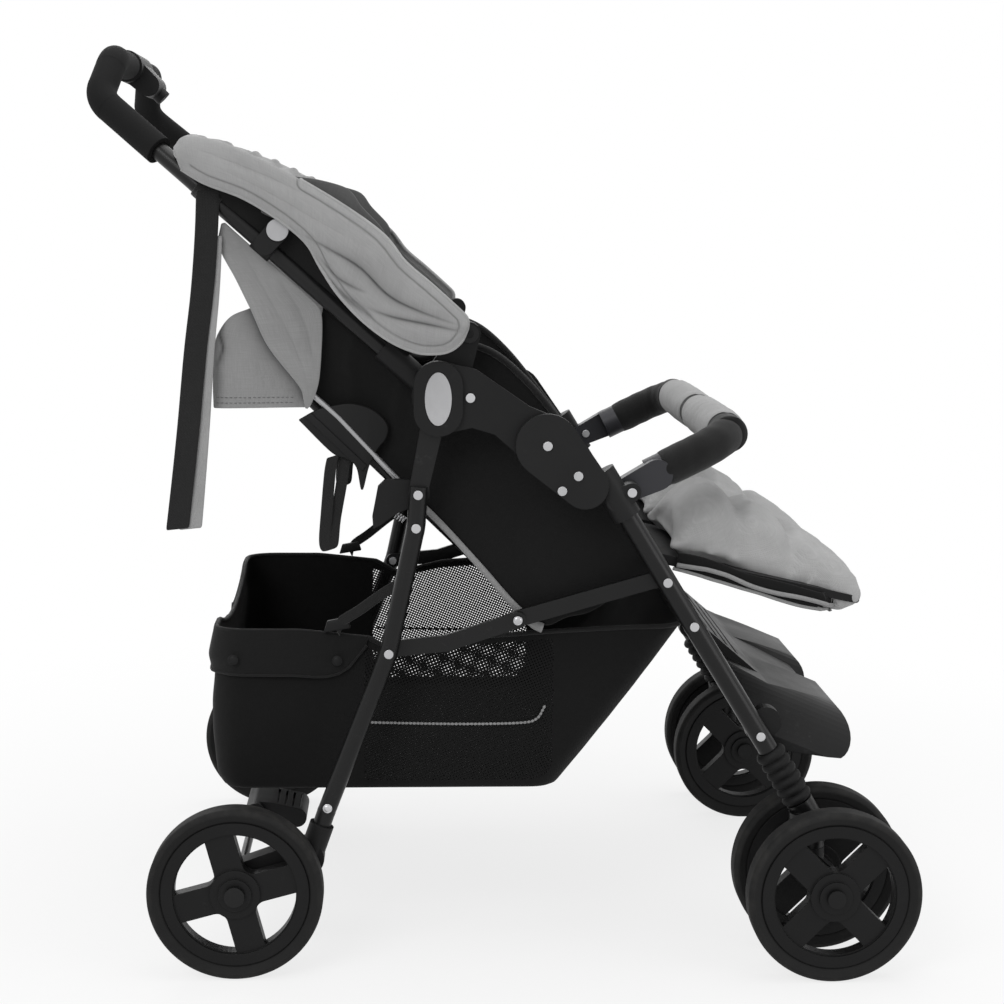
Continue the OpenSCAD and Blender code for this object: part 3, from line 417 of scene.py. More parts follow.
def cloth_net(name, grids, finish, thick=0.0014, smooth=1, **marks):
    """A sheet sewn from nets of places, with the runs of its threads as a UV map in metres."""
    grids = [np.array(g, float) for g in grids] if np.ndim(grids[0]) == 3 else [np.array(grids, float)]
    verts, faces, threads = [], [], []
    for g in grids:
        rows, cols = g.shape[:2]
        along = np.concatenate([[0], np.cumsum(np.linalg.norm(np.diff(g, axis=1), axis=2).mean(0))])
        across = np.concatenate([[0], np.cumsum(np.linalg.norm(np.diff(g, axis=0), axis=2).mean(1))])
        at = len(verts) + np.arange(rows * cols).reshape(rows, cols)
        faces += np.stack([at[:-1, :-1], at[:-1, 1:], at[1:, 1:], at[1:, :-1]], -1).reshape(-1, 4).tolist()
        threads.append(np.stack(np.meshgrid(along, across), -1).reshape(-1, 2))
        verts += g.reshape(-1, 3).tolist()
    mesh = bpy.data.meshes.new(name)
    mesh.from_pydata(verts, [], faces)
    corner_threads = np.vstack(threads)[np.array(faces).ravel()].astype(np.float32)
    mesh.uv_layers.new(name="threads").data.foreach_set("uv", corner_threads.ravel())
    for mark, shares in marks.items():
        values = np.concatenate([np.ravel(v) for v in shares]).astype(np.float32)
        mesh.attributes.new(mark, "FLOAT", "POINT").data.foreach_set("value", values)
    mesh.materials.append(finish)
    obj = added(name, mesh)
    bm = bmesh.new()
    bm.from_mesh(mesh)
    bmesh.ops.remove_doubles(bm, verts=bm.verts, dist=1e-5)
    bmesh.ops.recalc_face_normals(bm, faces=bm.faces)
    bm.to_mesh(mesh)
    bm.free()
    shell = obj.modifiers.new("thickness", "SOLIDIFY")
    shell.thickness, shell.offset = thick, 0
    if smooth:
        round_off = obj.modifiers.new("roundness", "SUBSURF")
        round_off.levels = round_off.render_levels = smooth
    settle(obj)
    obj.data.shade_smooth()
    return obj


woven, wo_in, wo_out = shader_group("woven_cloth", [
    ("Place", "Vector", None), ("Colour", "Color", (0.3, 0.3, 0.3, 1)), ("Fleck", "Color", (0.2, 0.2, 0.2, 1)),
    ("Thread", "Float", 0.0011), ("Mottle", "Float", 0.5), ("Roughness", "Float", 0.9)],
    [("Colour", "Color"), ("Roughness", "Float"), ("Height", "Float")])
per_thread = calc(woven, "DIVIDE", 0.3142, wo_in.outputs["Thread"])
per_cell = calc(woven, "DIVIDE", 1.0, wo_in.outputs["Thread"])
warp = place(woven, "ShaderNodeTexWave", {"Vector": wo_in.outputs["Place"], "Scale": per_thread, "Distortion": 0.6},
             bands_direction="X")
weft = place(woven, "ShaderNodeTexWave", {"Vector": wo_in.outputs["Place"], "Scale": per_thread, "Distortion": 0.6},
             bands_direction="Y")
over = place(woven, "ShaderNodeTexChecker", {"Vector": wo_in.outputs["Place"], "Scale": per_cell})
lift = mix(woven, over.outputs["Fac"], warp.outputs["Fac"], weft.outputs["Fac"], kind="FLOAT")
streak = []
for squeeze in ((55.0, 1300.0, 55.0), (1300.0, 55.0, 55.0)):
    pulled = vec(woven, "MULTIPLY", wo_in.outputs["Place"], squeeze)
    streak.append(place(woven, "ShaderNodeTexNoise", {"Vector": pulled, "Scale": 1.0, "Detail": 3.0}))
melange = calc(woven, "ADD", streak[0], streak[1])
fleck = remap(woven, melange, 0.72, 1.3)
flecked = calc(woven, "MULTIPLY", fleck, wo_in.outputs["Mottle"])
dyed = mix(woven, flecked, wo_in.outputs["Colour"], wo_in.outputs["Fleck"])
wide = place(woven, "ShaderNodeTexNoise", {"Vector": wo_in.outputs["Place"], "Scale": 16.0, "Detail": 4.0})
faded = remap(woven, wide, 0.25, 0.75, 0.9, 1.08)
cloth_colour = vec(woven, "SCALE", dyed, faded)
cloth_rough = calc(woven, "MULTIPLY_ADD", lift, 0.08, wo_in.outputs["Roughness"])
feed(woven, wo_out, {"Colour": cloth_colour, "Roughness": cloth_rough, "Height": lift})


def cloth_finish(name, colour, fleck, thread=0.0011, mottle=0.6, by_uv=True, rough=0.88, depth=0.0003, sheen=0.2):
    """Woven polyester. Nets read their thread map, stuffed pieces their place in the frame."""
    mat = bpy.data.materials.new(name)
    mat.use_nodes = True
    tree = mat.node_tree
    bsdf = tree.nodes["Principled BSDF"]
    if by_uv:
        run = place(tree, "ShaderNodeUVMap", uv_map="threads")
    else:
        where = place(tree, "ShaderNodeTexCoord")
        runs = [vec(tree, "DOT_PRODUCT", where.outputs["Object"], v).outputs["Value"]
                for v in ((1, 1, 0), (0, -1, 1))]
        run = place(tree, "ShaderNodeCombineXYZ", enumerate(runs))
    cloth = place(tree, "ShaderNodeGroup", {
        "Place": run, "Colour": (colour, colour, colour, 1), "Fleck": (fleck, fleck, fleck, 1),
        "Thread": thread, "Mottle": mottle, "Roughness": rough}, node_tree=woven)
    bump = place(tree, "ShaderNodeBump", {"Strength": 0.6, "Distance": depth, "Height": cloth.outputs["Height"]})
    # Painted shade: a per-point mark darkens the cloth's colour by up to 72 % in creases, folds and hollows.
    crease = place(tree, "ShaderNodeAttribute", attribute_name="crease")
    painted_shade_factor = calc(tree, "MULTIPLY_ADD", crease.outputs["Fac"], -0.72, 1.0)
    painted_shade_colour = vec(tree, "SCALE", cloth.outputs["Colour"], painted_shade_factor)
    feed(tree, bsdf, {
        "Base Color": painted_shade_colour, "Roughness": cloth.outputs["Roughness"], "Normal": bump,
        "Sheen Weight": sheen, "Sheen Roughness": 0.5, "Specular IOR Level": 0.15})
    return mat


bag_floor, bag_front = 186.5, 492


def bag_plan(count, corner=26.0, length=373.0, half=241.0):
    """Evenly spaced places round the bag: the share of its length, and the distance from the middle."""
    rear, front, right, left = corner, length - corner, corner - half, half - corner
    ring = [(0, 0)]
    for cx, cy, a0 in ((rear, right, 180), (front, right, 270), (front, left, 0), (rear, left, 90)):
        for a in range(0, 91, 10):
            way = math.radians(a0 + a)
            ring.append((cx + corner * math.cos(way), cy + corner * math.sin(way)))
    ring = np.array(ring + [(0, 0)])
    run = np.concatenate([[0], np.cumsum(np.linalg.norm(np.diff(ring, axis=0), axis=1))])
    even = np.linspace(0, run[-1], count)
    return np.stack([np.interp(even, run, ring[:, 0]) / length, np.interp(even, run, ring[:, 1])], 1)


def bag_wall(share, y, h, out=0.0):
    """A place on the bag's wall, h of the way up it, stood off by out millimetres."""
    x0 = np.interp(h, [0, 0.06, 0.4, 0.76, 0.82, 1], [-19, -26, -28, -25, -29, -27])
    x1 = bag_front - 140 + 140 * h
    x = x0 + share * (x1 - x0)
    top = np.interp(x0 + share * (bag_front - x0), [-28, 67, 144, 171, 232, 354, 430, 492],
                    [366, 366, 358, 342, 357, 366, 370, 371])
    if share < 0.02:
        top -= 24 * max(0.0, 1 - (y / 175) ** 2)
    z = bag_floor + h * (top - bag_floor)
    if 0.03 < share < 0.97:
        side = (0.0, math.copysign(1, y))
    else:
        side = (-1.0 if share < 0.5 else 0.6, 0.0)
    loose = math.sin(math.pi * min(h, 1))
    swell = 4.5 * loose + out + crumple((x / 1000, y / 1000, z / 1000), 16, 1.6) * loose ** 0.5
    return np.array([x + side[0] * swell, y + side[1] * swell, z])


def to_spots(grid):
    g = np.array(grid, float)
    return np.stack([(g[..., 0] - axle_to_origin) / 1000, g[..., 1] / 1000, g[..., 2] / 1000], -1)


def net_share(p, h):
    """One half on the border of a side's net, more inside it: a panel with one rounded lower corner."""
    across, up = 326.0 - p[0], p[2] - 217.0
    corner = 20.0 - math.hypot(min(across, 0), min(up, 0)) if across < 0 or up < 0 else 20.0 + min(across, up)
    return float(np.clip(0.5 + min(corner, p[0] - 138, 175 * (0.95 - h)) / 14, 0, 1))


bag_ring = bag_plan(181)
bag_grid, bag_window = [], []
for f in (0.0, 0.25, 0.5, 0.75, 0.93):
    rim = np.array([bag_wall(a, y, 0.0) for a, y in bag_ring])
    low = np.array([165.0, 0, 186.0])
    bag_grid.append(low + (rim - low) * f - np.array([0, 0, 1.5 * (1 - f)]))
    bag_window.append([0.0] * len(bag_ring))
for h in np.concatenate([[0.0, 0.03], np.linspace(0.08, 1, 25)]):
    line = [bag_wall(a, y, h) for a, y in bag_ring]
    bag_grid.append(np.array(line))
    bag_window.append([net_share(p, h) for p in line])
bag_cloth = cloth_finish("basket_polyester", 0.0035, 0.007, 0.0013, 0.5, rough=0.8, sheen=0.06)
tree = bag_cloth.node_tree
bsdf = tree.nodes["Principled BSDF"]
where = place(tree, "ShaderNodeTexCoord")
open_net = place(tree, "ShaderNodeAttribute", attribute_name="window")
in_net = remap(tree, open_net.outputs["Fac"], 0.45, 0.55)
split = place(tree, "ShaderNodeSeparateXYZ", {0: where.outputs["Object"]})
which = calc(tree, "SIGN", split.outputs["Y"])
bias = calc(tree, "MULTIPLY", which, math.pi / 8)
laid = place(tree, "ShaderNodeVectorRotate", {"Vector": where.outputs["Object"], "Angle": bias},
             rotation_type="Y_AXIS")
bars, net_pitch = [], 700.0
for lean in (1.0, -1.0):
    slope = vec(tree, "DOT_PRODUCT", laid, (net_pitch, 0.0, net_pitch * lean))
    bars.append(calc(tree, "SINE", slope.outputs["Value"]))
eye = calc(tree, "MULTIPLY", bars[0], bars[1])
eye_size = calc(tree, "ABSOLUTE", eye)
hole = calc(tree, "GREATER_THAN", eye_size, 0.64)
gap_share = calc(tree, "MULTIPLY", hole, in_net)
solid = calc(tree, "SUBTRACT", 1.0, gap_share)
feed(tree, bsdf, {"Alpha": solid})
bag = cloth_net("basket_bag", to_spots(bag_grid), bag_cloth, 0.0016, window=[bag_window])
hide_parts("basket")
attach(bag, "chassis")

piping, pipe_in, pipe_out = geo_tree("piping",
                                     [("Radius", "Float", 0.002), ("Swell", "Float", 0.0), ("Step", "Float", 0.004)])
pipe_fine = fine_line(piping, pipe_in, Length=pipe_in.outputs["Step"])
pipe_along = place(piping, "GeometryNodeSplineParameter")
pipe_end = calc(piping, "POWER", pipe_along.outputs["Factor"], 6.0)
pipe_more = calc(piping, "MULTIPLY_ADD", pipe_end, pipe_in.outputs["Swell"], 1.0)
pipe_size = calc(piping, "MULTIPLY", pipe_more, pipe_in.outputs["Radius"])
end_tree(piping, swept(piping, pipe_fine, pipe_size, 10), pipe_in, pipe_out)

stitching, st_in, st_out = geo_tree("stitching",
                                    [("Pitch", "Float", 0.005), ("Length", "Float", 0.0032),
                                     ("Thread", "Float", 0.0005)])
st_fine = fine_line(stitching, st_in, Length=st_in.outputs["Pitch"])
st_way = place(stitching, "GeometryNodeInputTangent")
st_turn = place(stitching, "FunctionNodeAlignRotationToVector", {"Vector": st_way}, axis="X")
st_half = calc(stitching, "MULTIPLY", st_in.outputs["Length"], 0.5)
st_size = place(stitching, "ShaderNodeCombineXYZ",
                {0: st_half, 1: st_in.outputs["Thread"], 2: st_in.outputs["Thread"]})
st_bead = place(stitching, "GeometryNodeMeshUVSphere", {"Segments": 6, "Rings": 4, "Radius": 1.0})
st_rows = place(stitching, "GeometryNodeInstanceOnPoints",
                {"Points": st_fine, "Instance": st_bead, "Rotation": st_turn, "Scale": st_size})
end_tree(stitching, st_rows, st_in, st_out)

studs, sd_in, sd_out = geo_tree("snap_studs", [("Radius", "Float", 0.006), ("Facing", "Vector", (0, -1, 0))])
sd_points = place(studs, "GeometryNodeMeshToPoints", {0: sd_in.outputs["Geometry"]})
sd_turn = place(studs, "FunctionNodeAlignRotationToVector", {"Vector": sd_in.outputs["Facing"]}, axis="Z")
sd_dome = place(studs, "GeometryNodeMeshUVSphere", {"Segments": 20, "Rings": 10, "Radius": 0.8})
sd_flat = place(studs, "GeometryNodeTransform", {"Geometry": sd_dome, "Scale": (1, 1, 0.32)})
sd_circle = place(studs, "GeometryNodeCurvePrimitiveCircle", {"Resolution": 24, "Radius": 0.86})
sd_wire = place(studs, "GeometryNodeCurvePrimitiveCircle", {"Resolution": 8, "Radius": 0.14})
sd_ring = place(studs, "GeometryNodeCurveToMesh", {"Curve": sd_circle, "Profile Curve": sd_wire})
sd_whole = place(studs, "GeometryNodeJoinGeometry")
for piece in (sd_flat, sd_ring):
    feed(studs, sd_whole, {0: piece})
sd_rows = place(studs, "GeometryNodeInstanceOnPoints",
                {"Points": sd_points, "Instance": sd_whole, "Rotation": sd_turn, "Scale": sd_in.outputs["Radius"]})
end_tree(studs, sd_rows, sd_in, sd_out)

bag_tape = cloth_finish("basket_binding", 0.005, 0.011, 0.0009, 0.4, by_uv=False, rough=0.62, sheen=0.1)
bag_edge = grow("basket_binding", piping, [to_spots([bag_wall(a, y, 1.0) for a, y in bag_ring])], bag_tape,
                Radius=0.0026)
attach(bag_edge, "chassis")
for s, side_y in both_sides:
    strip = [(a, y) for a, y in bag_ring if y * side_y > 55 and a * 520 - 27 < 145]
    strip = strip if side_y < 0 else strip[::-1]
    from_end = [min(i, len(strip) - 1 - i) for i in range(len(strip))]
    deep = [0.28 * (0.2 + 0.8 * math.sqrt(1 - max(0, 1 - i / 4) ** 2)) for i in from_end]
    rows = [[bag_wall(a, y, 1.012 - deep[i] * k, 2.3 + 2.4 * math.sin(k * 1.4) + 1.2 * math.sin(i * 0.55) * k)
             for i, (a, y) in enumerate(strip)] for k in np.linspace(0, 1, 10)]
    flap_cloth = cloth_finish("basket_flap_cloth_" + s, 0.0045, 0.009, 0.0013, 0.5, rough=0.75, sheen=0.08)
    flap = cloth_net("basket_flap_" + s, to_spots(rows), flap_cloth, 0.0018)
    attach(flap, "chassis")
    edge = grow("basket_flap_hem_" + s, piping, [to_spots(rows[-1])], bag_tape, Radius=0.0016)
    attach(edge, "chassis")
    snap_line = to_spots([(-6, 251.5 * side_y, 336), (108, 252.5 * side_y, 335)])
    snaps = grow("basket_snaps_" + s, studs, [snap_line], black_nylon, Radius=0.0058, Facing=(0, side_y, 0))
    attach(snaps, "chassis")
    seam_line = trace([(146, 264), (240, 262), (310, 263), (329, 268), (337, 281)], 60)
    seam_tape = cloth_finish("net_seam_tape_" + s, 0.3, 0.18, by_uv=False)
    seam = grow("basket_net_seam_" + s, stitching, [to_spots([(x, 248 * side_y, z) for x, z in seam_line])],
                seam_tape, Pitch=0.0042, Length=0.005, Thread=0.0016)
    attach(seam, "chassis")

# Knee and foot rivets: plated steel heads on the outer side, one that closes the knee of each pair of
# side links and one at the foot of each rear leg.
for s, side_y in both_sides:
    for name, body, x, y, z in (("knee_rivet_", "rear_link", 305, 277.6, 385),
                                ("foot_rivet_", "rear_frame", 98.5, 297.9, 181)):
        head = grow(name + s, studs, [[spot(x, z, y * side_y)]], plated_steel, Radius=0.0052, Facing=(0, side_y, 0))
        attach(head, body)

# Seat sides: black polyester stretched from the backrest to the front leg, inside the armrest.
# The rear lower edge carries a thick grey piping and the top edge a soft black roll. The side is
# sewn to the backrest.
side_low = trace([(75, 625), (140, 566), (209, 504), (264, 445), (304, 399), (334, 374), (365, 383), (397, 396),
                  (428, 411), (454, 431)], 72)
side_high = trace([(95, 728), (150, 697), (196, 668), (232, 684), (257, 682), (285, 669), (317, 640), (347, 604),
                   (394, 542), (440, 470)], 72)
black_polyester = cloth_finish("black_polyester", 0.0042, 0.0085, 0.0012, 0.5, rough=0.78, sheen=0.08)
black_piping = cloth_finish("black_piping", 0.007, 0.014, 0.0009, 0.5, by_uv=False, rough=0.75)
grey_piping = cloth_finish("grey_piping", 0.30, 0.2, 0.0009, 0.6, by_uv=False)


def near_line(x, z, line):
    """How far places are from a line of places, which side of it, and how far along it."""
    best, side, share = np.full(np.shape(x), 1e9), np.ones(np.shape(x)), np.zeros(np.shape(x))
    for i, ((ax, az), (bx, bz)) in enumerate(zip(line[:-1], line[1:])):
        dx, dz = bx - ax, bz - az
        t = np.clip(((x - ax) * dx + (z - az) * dz) / (dx * dx + dz * dz), 0, 1)
        d = np.hypot(x - ax - dx * t, z - az - dz * t)
        side = np.where(d < best, np.sign((x - ax) * dz - (z - az) * dx), side)
        share = np.where(d < best, (i + t) / (len(line) - 1), share)
        best = np.minimum(d, best)
    return best, side, share


def ruled(first, last, t, down=False):
    """Places between two lines of equal count, t of the way from one to the other."""
    t = np.asarray(t)
    grid = first[None] + (last - first)[None] * t[:, None, None]
    grid = grid if down else grid.transpose(1, 0, 2)
    return grid[..., 0], grid[..., 1]


def relief(x, z, folds):
    """How far crushed cloth stands in or out at its folds, and how much shade is painted into its creases."""
    rise, painted_fold_shade = np.zeros(np.shape(x)), np.zeros(np.shape(x))
    for route, wide, deep, core_shade in folds:
        d, turn, share = near_line(x, z, trace(route, 24))
        strength = np.clip(4.2 * share * (1 - share), 0, 1)
        rise -= strength * deep * np.exp(-d / wide)
        rise += strength * np.where(turn > 0, 0.7 * deep * np.exp(-((d - 1.7 * wide) / (1.4 * wide)) ** 2), 0)
        # Painted shade: a dark core along each crease line and a softer fall-off beside it, fading at both ends.
        painted_fold_shade = np.maximum(painted_fold_shade, strength * core_shade * (0.8 * np.exp(-(d / 1.5) ** 2) + 0.35 * np.exp(-d / wide)))
    return rise, np.clip(painted_fold_shade, 0, 1)


def crumple_net(x, y, z, scale, depth):
    """Soft unevenness over a net of places in millimetres."""
    x, y, z = np.broadcast_arrays(x, y, z)
    lift = [crumple(p, scale / 1000, depth) for p in zip(x.ravel(), y.ravel(), z.ravel())]
    return np.reshape(lift, x.shape)


side_folds = [([(150, 690), (172, 640), (168, 590)], 9, 3.0), ([(195, 668), (205, 610), (200, 540)], 11, 2.6),
              ([(255, 560), (300, 470), (330, 400)], 30, 1.6), ([(120, 690), (118, 640), (126, 600)], 10, 2.4)]
for s, side_y in both_sides:
    t = np.linspace(0, 1, 25)
    x, z = ruled(side_low, side_high, t, down=True)
    y = 250.0 + crumple_net(x, 100 * side_y, z, 13, 1.4)
    for line, wide, deep in side_folds:
        d, turn, share = near_line(x, z, line)
        y += deep * np.exp(-(d / wide) ** 2) * (0.6 - 0.5 * turn)
    low_x = side_low[:, 0]
    z = z + np.where(low_x > 340, 2.2 * np.sin(low_x * 0.11) * (1 - t[:, None]) ** 6, 0)
    y = np.minimum(y, 254.2) - 11.0 * np.exp(-((x - 115) / 70) ** 4 - ((z - 590) / 75) ** 4)
    rows = np.stack([x, side_y * y, z], -1)
    panel = cloth_net("seat_side_" + s, to_spots(rows), black_polyester, 0.0016)
    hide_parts("side_panel_" + s)
    low_line = [p for p in to_spots(rows[0]) if p[0] * 1000 + axle_to_origin < 338 and p[2] < 0.512]
    stand_off = Vector((-0.002, 0.0022 * side_y, -0.002))
    trim_line = [Vector(p) + stand_off for p in low_line]
    trim = grow("seat_side_piping_" + s, piping, [trim_line], grey_piping, Radius=0.0036, Swell=0.55)
    roll = grow("seat_side_roll_" + s, piping, [to_spots(rows[-1])], black_piping, Radius=0.0042)
    for piece in (panel, trim, roll):
        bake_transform(piece)

# Seat and back cushions: black polyester over wadding, sewn across into soft channels and tied
# to the seat boards and to the tube of each backrest.


def stuffed(name, node, finish, shrink=0.0035, voxel=0.005, cap=0.009):
    """A pad that starts as its place in the frame, a little smaller, and is then filled."""
    bm = bmesh.new()
    bm.from_mesh(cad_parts[node].data)
    bmesh.ops.remove_doubles(bm, verts=bm.verts, dist=1e-5)
    bmesh.ops.recalc_face_normals(bm, faces=bm.faces)
    bm.normal_update()
    for v in bm.verts:
        v.co -= v.normal * shrink
    mesh = bpy.data.meshes.new(name)
    bm.to_mesh(mesh)
    bm.free()
    pad = added(name, mesh)
    skin = pad.modifiers.new("skin", "REMESH")
    skin.mode, skin.voxel_size = "VOXEL", voxel
    settle(pad)
    rest = np.array([v.co for v in pad.data.vertices])
    fill = pad.modifiers.new("wadding", "CLOTH")
    fill.settings.use_pressure = True
    fill.settings.uniform_pressure_force = 4.0
    fill.settings.effector_weights.gravity = 0.0
    fill.settings.quality = 4
    for f in range(1, 21):
        scene.frame_set(f)
    settle(pad)
    scene.frame_set(1)
    moved = np.array([v.co for v in pad.data.vertices]) - rest
    far = np.linalg.norm(moved, axis=1, keepdims=True)
    moved *= np.minimum(1, cap / np.maximum(far, 1e-9))
    pad.data.vertices.foreach_set("co", (rest + moved).astype(np.float32).ravel())
    pad.data.materials.clear()
    pad.data.materials.append(finish)
    return pad


def sew(pad, origin, along, up, seams, deep, wide, knots=(), knot_deep=0.0, knot_wide=1.0):
    """Pulls a pad's upper side in along sewn lines and at tufts, then rounds it off."""
    pad.data.update()
    o, a, n = Vector(origin), Vector(along), Vector(up)
    for v in pad.data.vertices:
        p = v.co - o
        u, w, h = p.dot(a) * 1000, p.y * 1000, v.normal.dot(n)
        pull = sum(deep * math.exp(-((u - c) / wide) ** 2) for c in seams)
        pull += sum(knot_deep * math.exp(-math.hypot(u - ku, w - kw) / knot_wide) for ku, kw in knots)
        v.co -= n * (pull / 1000) * max(0.0, h) ** 0.5 - n * 0.0006 * noise.noise(v.co * 60) * max(0.0, h)
    soft = pad.modifiers.new("evened", "SMOOTH")
    soft.factor, soft.iterations = 0.4, 2
    round_off = pad.modifiers.new("roundness", "SUBSURF")
    round_off.levels = round_off.render_levels = 1
    settle(pad)
    pad.data.shade_smooth()
    return pad


cushion_cloth = cloth_finish("black_cushion_cloth", 0.0055, 0.011, 0.0012, 0.55, by_uv=False, rough=0.86, sheen=0.1)
seat_run, seat_rise = Vector((0.925, 0, 0.379)), Vector((-0.379, 0, 0.925))
back_run, back_rise = Vector((-0.719, 0, 0.695)), Vector((0.695, 0, 0.719))
seat_mid, seat_hinge = 127, (312, 392)
for s, side_y in both_sides:
    base = spot(*seat_hinge, seat_mid * side_y)
    seat = stuffed("seat_cushion_" + s, "seat_pad_" + s, cushion_cloth)
    sew(seat, base, seat_run, seat_rise, [66, 98, 130], 4.0, 5.0)
    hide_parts("seat_pad_" + s)
    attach(seat, "chassis")
    back = stuffed("back_cushion_" + s, "back_pad_" + s, cushion_cloth)
    sew(back, base, back_run, back_rise, [95, 145, 195, 245, 295, 345, 390], 5.0, 6.0)
    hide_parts("back_pad_" + s)
    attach(back, "backrest_" + s)

# Harness: black nylon webbing on each seat, two shoulder straps that run down the back cushion.
# The webbing lies on the cushion and is sewn to it at both ends.
webbing = cloth_finish("black_webbing", 0.008, 0.018, 0.0016, 0.4, rough=0.6, depth=0.0005)
strap_profile = ((330, 38), (300, 46), (250, 44), (200, 44), (150, 46), (108, 56), (92, 62))
for s, side_y in both_sides:
    base = spot(*seat_hinge, seat_mid * side_y)
    for lean in (-1, 1):
        line = trace([(u, lean * (16 + 30 * max(0, (u - 90) / 240)), h) for u, h in strap_profile], 30)
        rows = []
        for j in range(5):
            lift, aside = 1.0 if j in (0, 4) else 0.2, (j - 2) * 6
            rows.append([base + back_run * (u / 1000) + back_rise * ((h + lift) / 1000)
                         + Vector((0, (w + aside) / 1000, 0)) for u, w, h in line])
        strap = cloth_net("shoulder_strap_%s_%d" % (s, (lean + 3) // 2), rows, webbing, 0.0016)
        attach(strap, "backrest_" + s)

# Leg rests: a grey quilt over each leg board, drawn in by tufts, on a black lining with two rows of
# grey piping round its free edge. The layers are sewn together and turn with the board.
quilt_grey = cloth_finish("quilt_grey_cloth", 0.42, 0.32, 0.0011, 0.6, by_uv=False, sheen=0.3)
rest_run, rest_rise = Vector((0.97815, 0, -0.20791)), Vector((0.20791, 0, 0.97815))


def droop(u):
    """How far the free end of a leg rest hangs below its board, u millimetres along it."""
    return np.interp(u, [30, 47, 74, 99, 132, 165, 182, 198, 236], [6, 6, 1, -9, -16, -18, -18, -19, -19])


for s, side_y in both_sides:
    o = spot(464.3, 453.1, seat_mid * side_y)
    quilt = stuffed("leg_quilt_" + s, "leg_cover_" + s, quilt_grey, cap=0.01)
    tufts = [(u, w) for u in (52, 116, 182) for w in (-62, 0, 62)]
    sew(quilt, o, rest_run, rest_rise, [84, 149], 5.0, 7.0, tufts, 9.0, 11.0)
    base = np.percentile([(v.co - o).dot(rest_rise) for v in quilt.data.vertices], 3) * 1000
    for v in quilt.data.vertices:
        u, h = (v.co - o).dot(rest_run) * 1000, (v.co - o).dot(rest_rise) * 1000
        hang = float(droop(u) * min(1, max(0, 1 - (h - base) / 24)))
        aside, out = v.co.y - o.y, 0.0
        if abs(aside) > 0.09:
            out = math.copysign(0.2 * max(0, -hang) + min(7, 0.6 * max(0, u - 180)), aside)
        v.co += (rest_rise * hang + Vector((0, out, 0)) + rest_run * (0.2 * max(0, u - 176))) / 1000
    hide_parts("leg_cover_" + s)
    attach(quilt, "legrest_" + s)
    end, half, corner = 200, 116, 22
    edge = [(16, -half)] + [(end - corner + corner * math.sin(a), corner - half - corner * math.cos(a))
                            for a in np.linspace(0, math.pi / 2, 9)]
    edge = trace(edge + [(u, -w) for u, w in edge[::-1]], 84)
    rows = []
    for k in range(9):
        belly = math.sin(k / 8 * math.pi)
        rows.append([o + rest_run * ((u + 3.2 * belly) / 1000) + Vector((0, w * (1 + 0.012 * belly) / 1000, 0))
                     + rest_rise * float((3 - 2.4 * k + 0.4 * droop(u) + 1.1 * math.sin(i * 0.5 + k)) / 1000)
                     for i, (u, w) in enumerate(edge)])
    lining = cloth_net("leg_lining_" + s, rows, black_polyester, 0.0022)
    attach(lining, "legrest_" + s)
    trims = []
    for n, k, grow_out, radius in ((1, 5, 2.5, 0.0026), (2, 8, 1.8, 0.0019)):
        line = [p + (p - o).normalized() * (grow_out / 1000) * math.sqrt(2) for p in rows[k]]
        trims.append(grow("leg_piping_%s_%d" % (s, n), piping, [line], grey_piping, Radius=radius))
    for t in trims:
        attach(t, "legrest_" + s)

# Bumper bar: the tube is wrapped in black padded cloth, and two grey sleeves with a lengthwise seam
# are wrapped round the crossbar, with a gap between them.
bar_low, bar_corner = np.array((424.515, 529.367)), np.array((538.515, 585.367))
bar_y, bar_bend, bar_bare = 253.2, 44.0, 44
bar_run = (bar_corner - bar_low) / np.linalg.norm(bar_corner - bar_low)
bar_path = [(*(bar_low + bar_run * bar_bare), -bar_y), (*(bar_corner - bar_run * bar_bend), -bar_y)]
for a in np.linspace(0.1, 1.47, 10):
    c = bar_corner - bar_run * bar_bend * (1 - math.sin(a))
    bar_path.append((*c, -bar_y + bar_bend * (1 - math.cos(a))))
bar_path.append((*bar_corner, -bar_y + bar_bend))
bar_path = bar_path + [(x, z, -y) for x, z, y in bar_path[::-1]]
bar_line = [spot(*p) for p in trace(bar_path, 150)]


def tube_skin(name, line, radius, finish, around=28):
    """A sleeve round a line, whose radius may change along and round it."""
    rows = []
    for i, p in enumerate(line):
        run = (line[min(i + 1, len(line) - 1)] - line[max(i - 1, 0)]).normalized()
        u = run.cross(Vector((0.41, 0.0, 0.91))).normalized()
        w = run.cross(u)
        rows.append([p + (u * math.cos(a) + w * math.sin(a)) * radius(i / (len(line) - 1), a)
                     for a in np.linspace(0, 2 * math.pi, around + 1)])
    return cloth_net(name, rows, finish, 0.0012)


bar_cloth = cloth_finish("bumper_black_cloth", 0.008, 0.016, 0.0014, 0.5, rough=0.84)


def wrap_radius(t, a):
    """Wrinkled padding, drawn in at both ends."""
    wrinkle = math.sin(t * 240 + 1.3 * math.sin(a * 2)) * (0.5 + noise.noise((t * 9, math.cos(a), math.sin(a))))
    return (0.0199 + 0.0005 * wrinkle - 0.0014 * math.exp(-((t % 1) / 0.006) ** 2)
            - 0.0014 * math.exp(-((1 - t) / 0.006) ** 2))


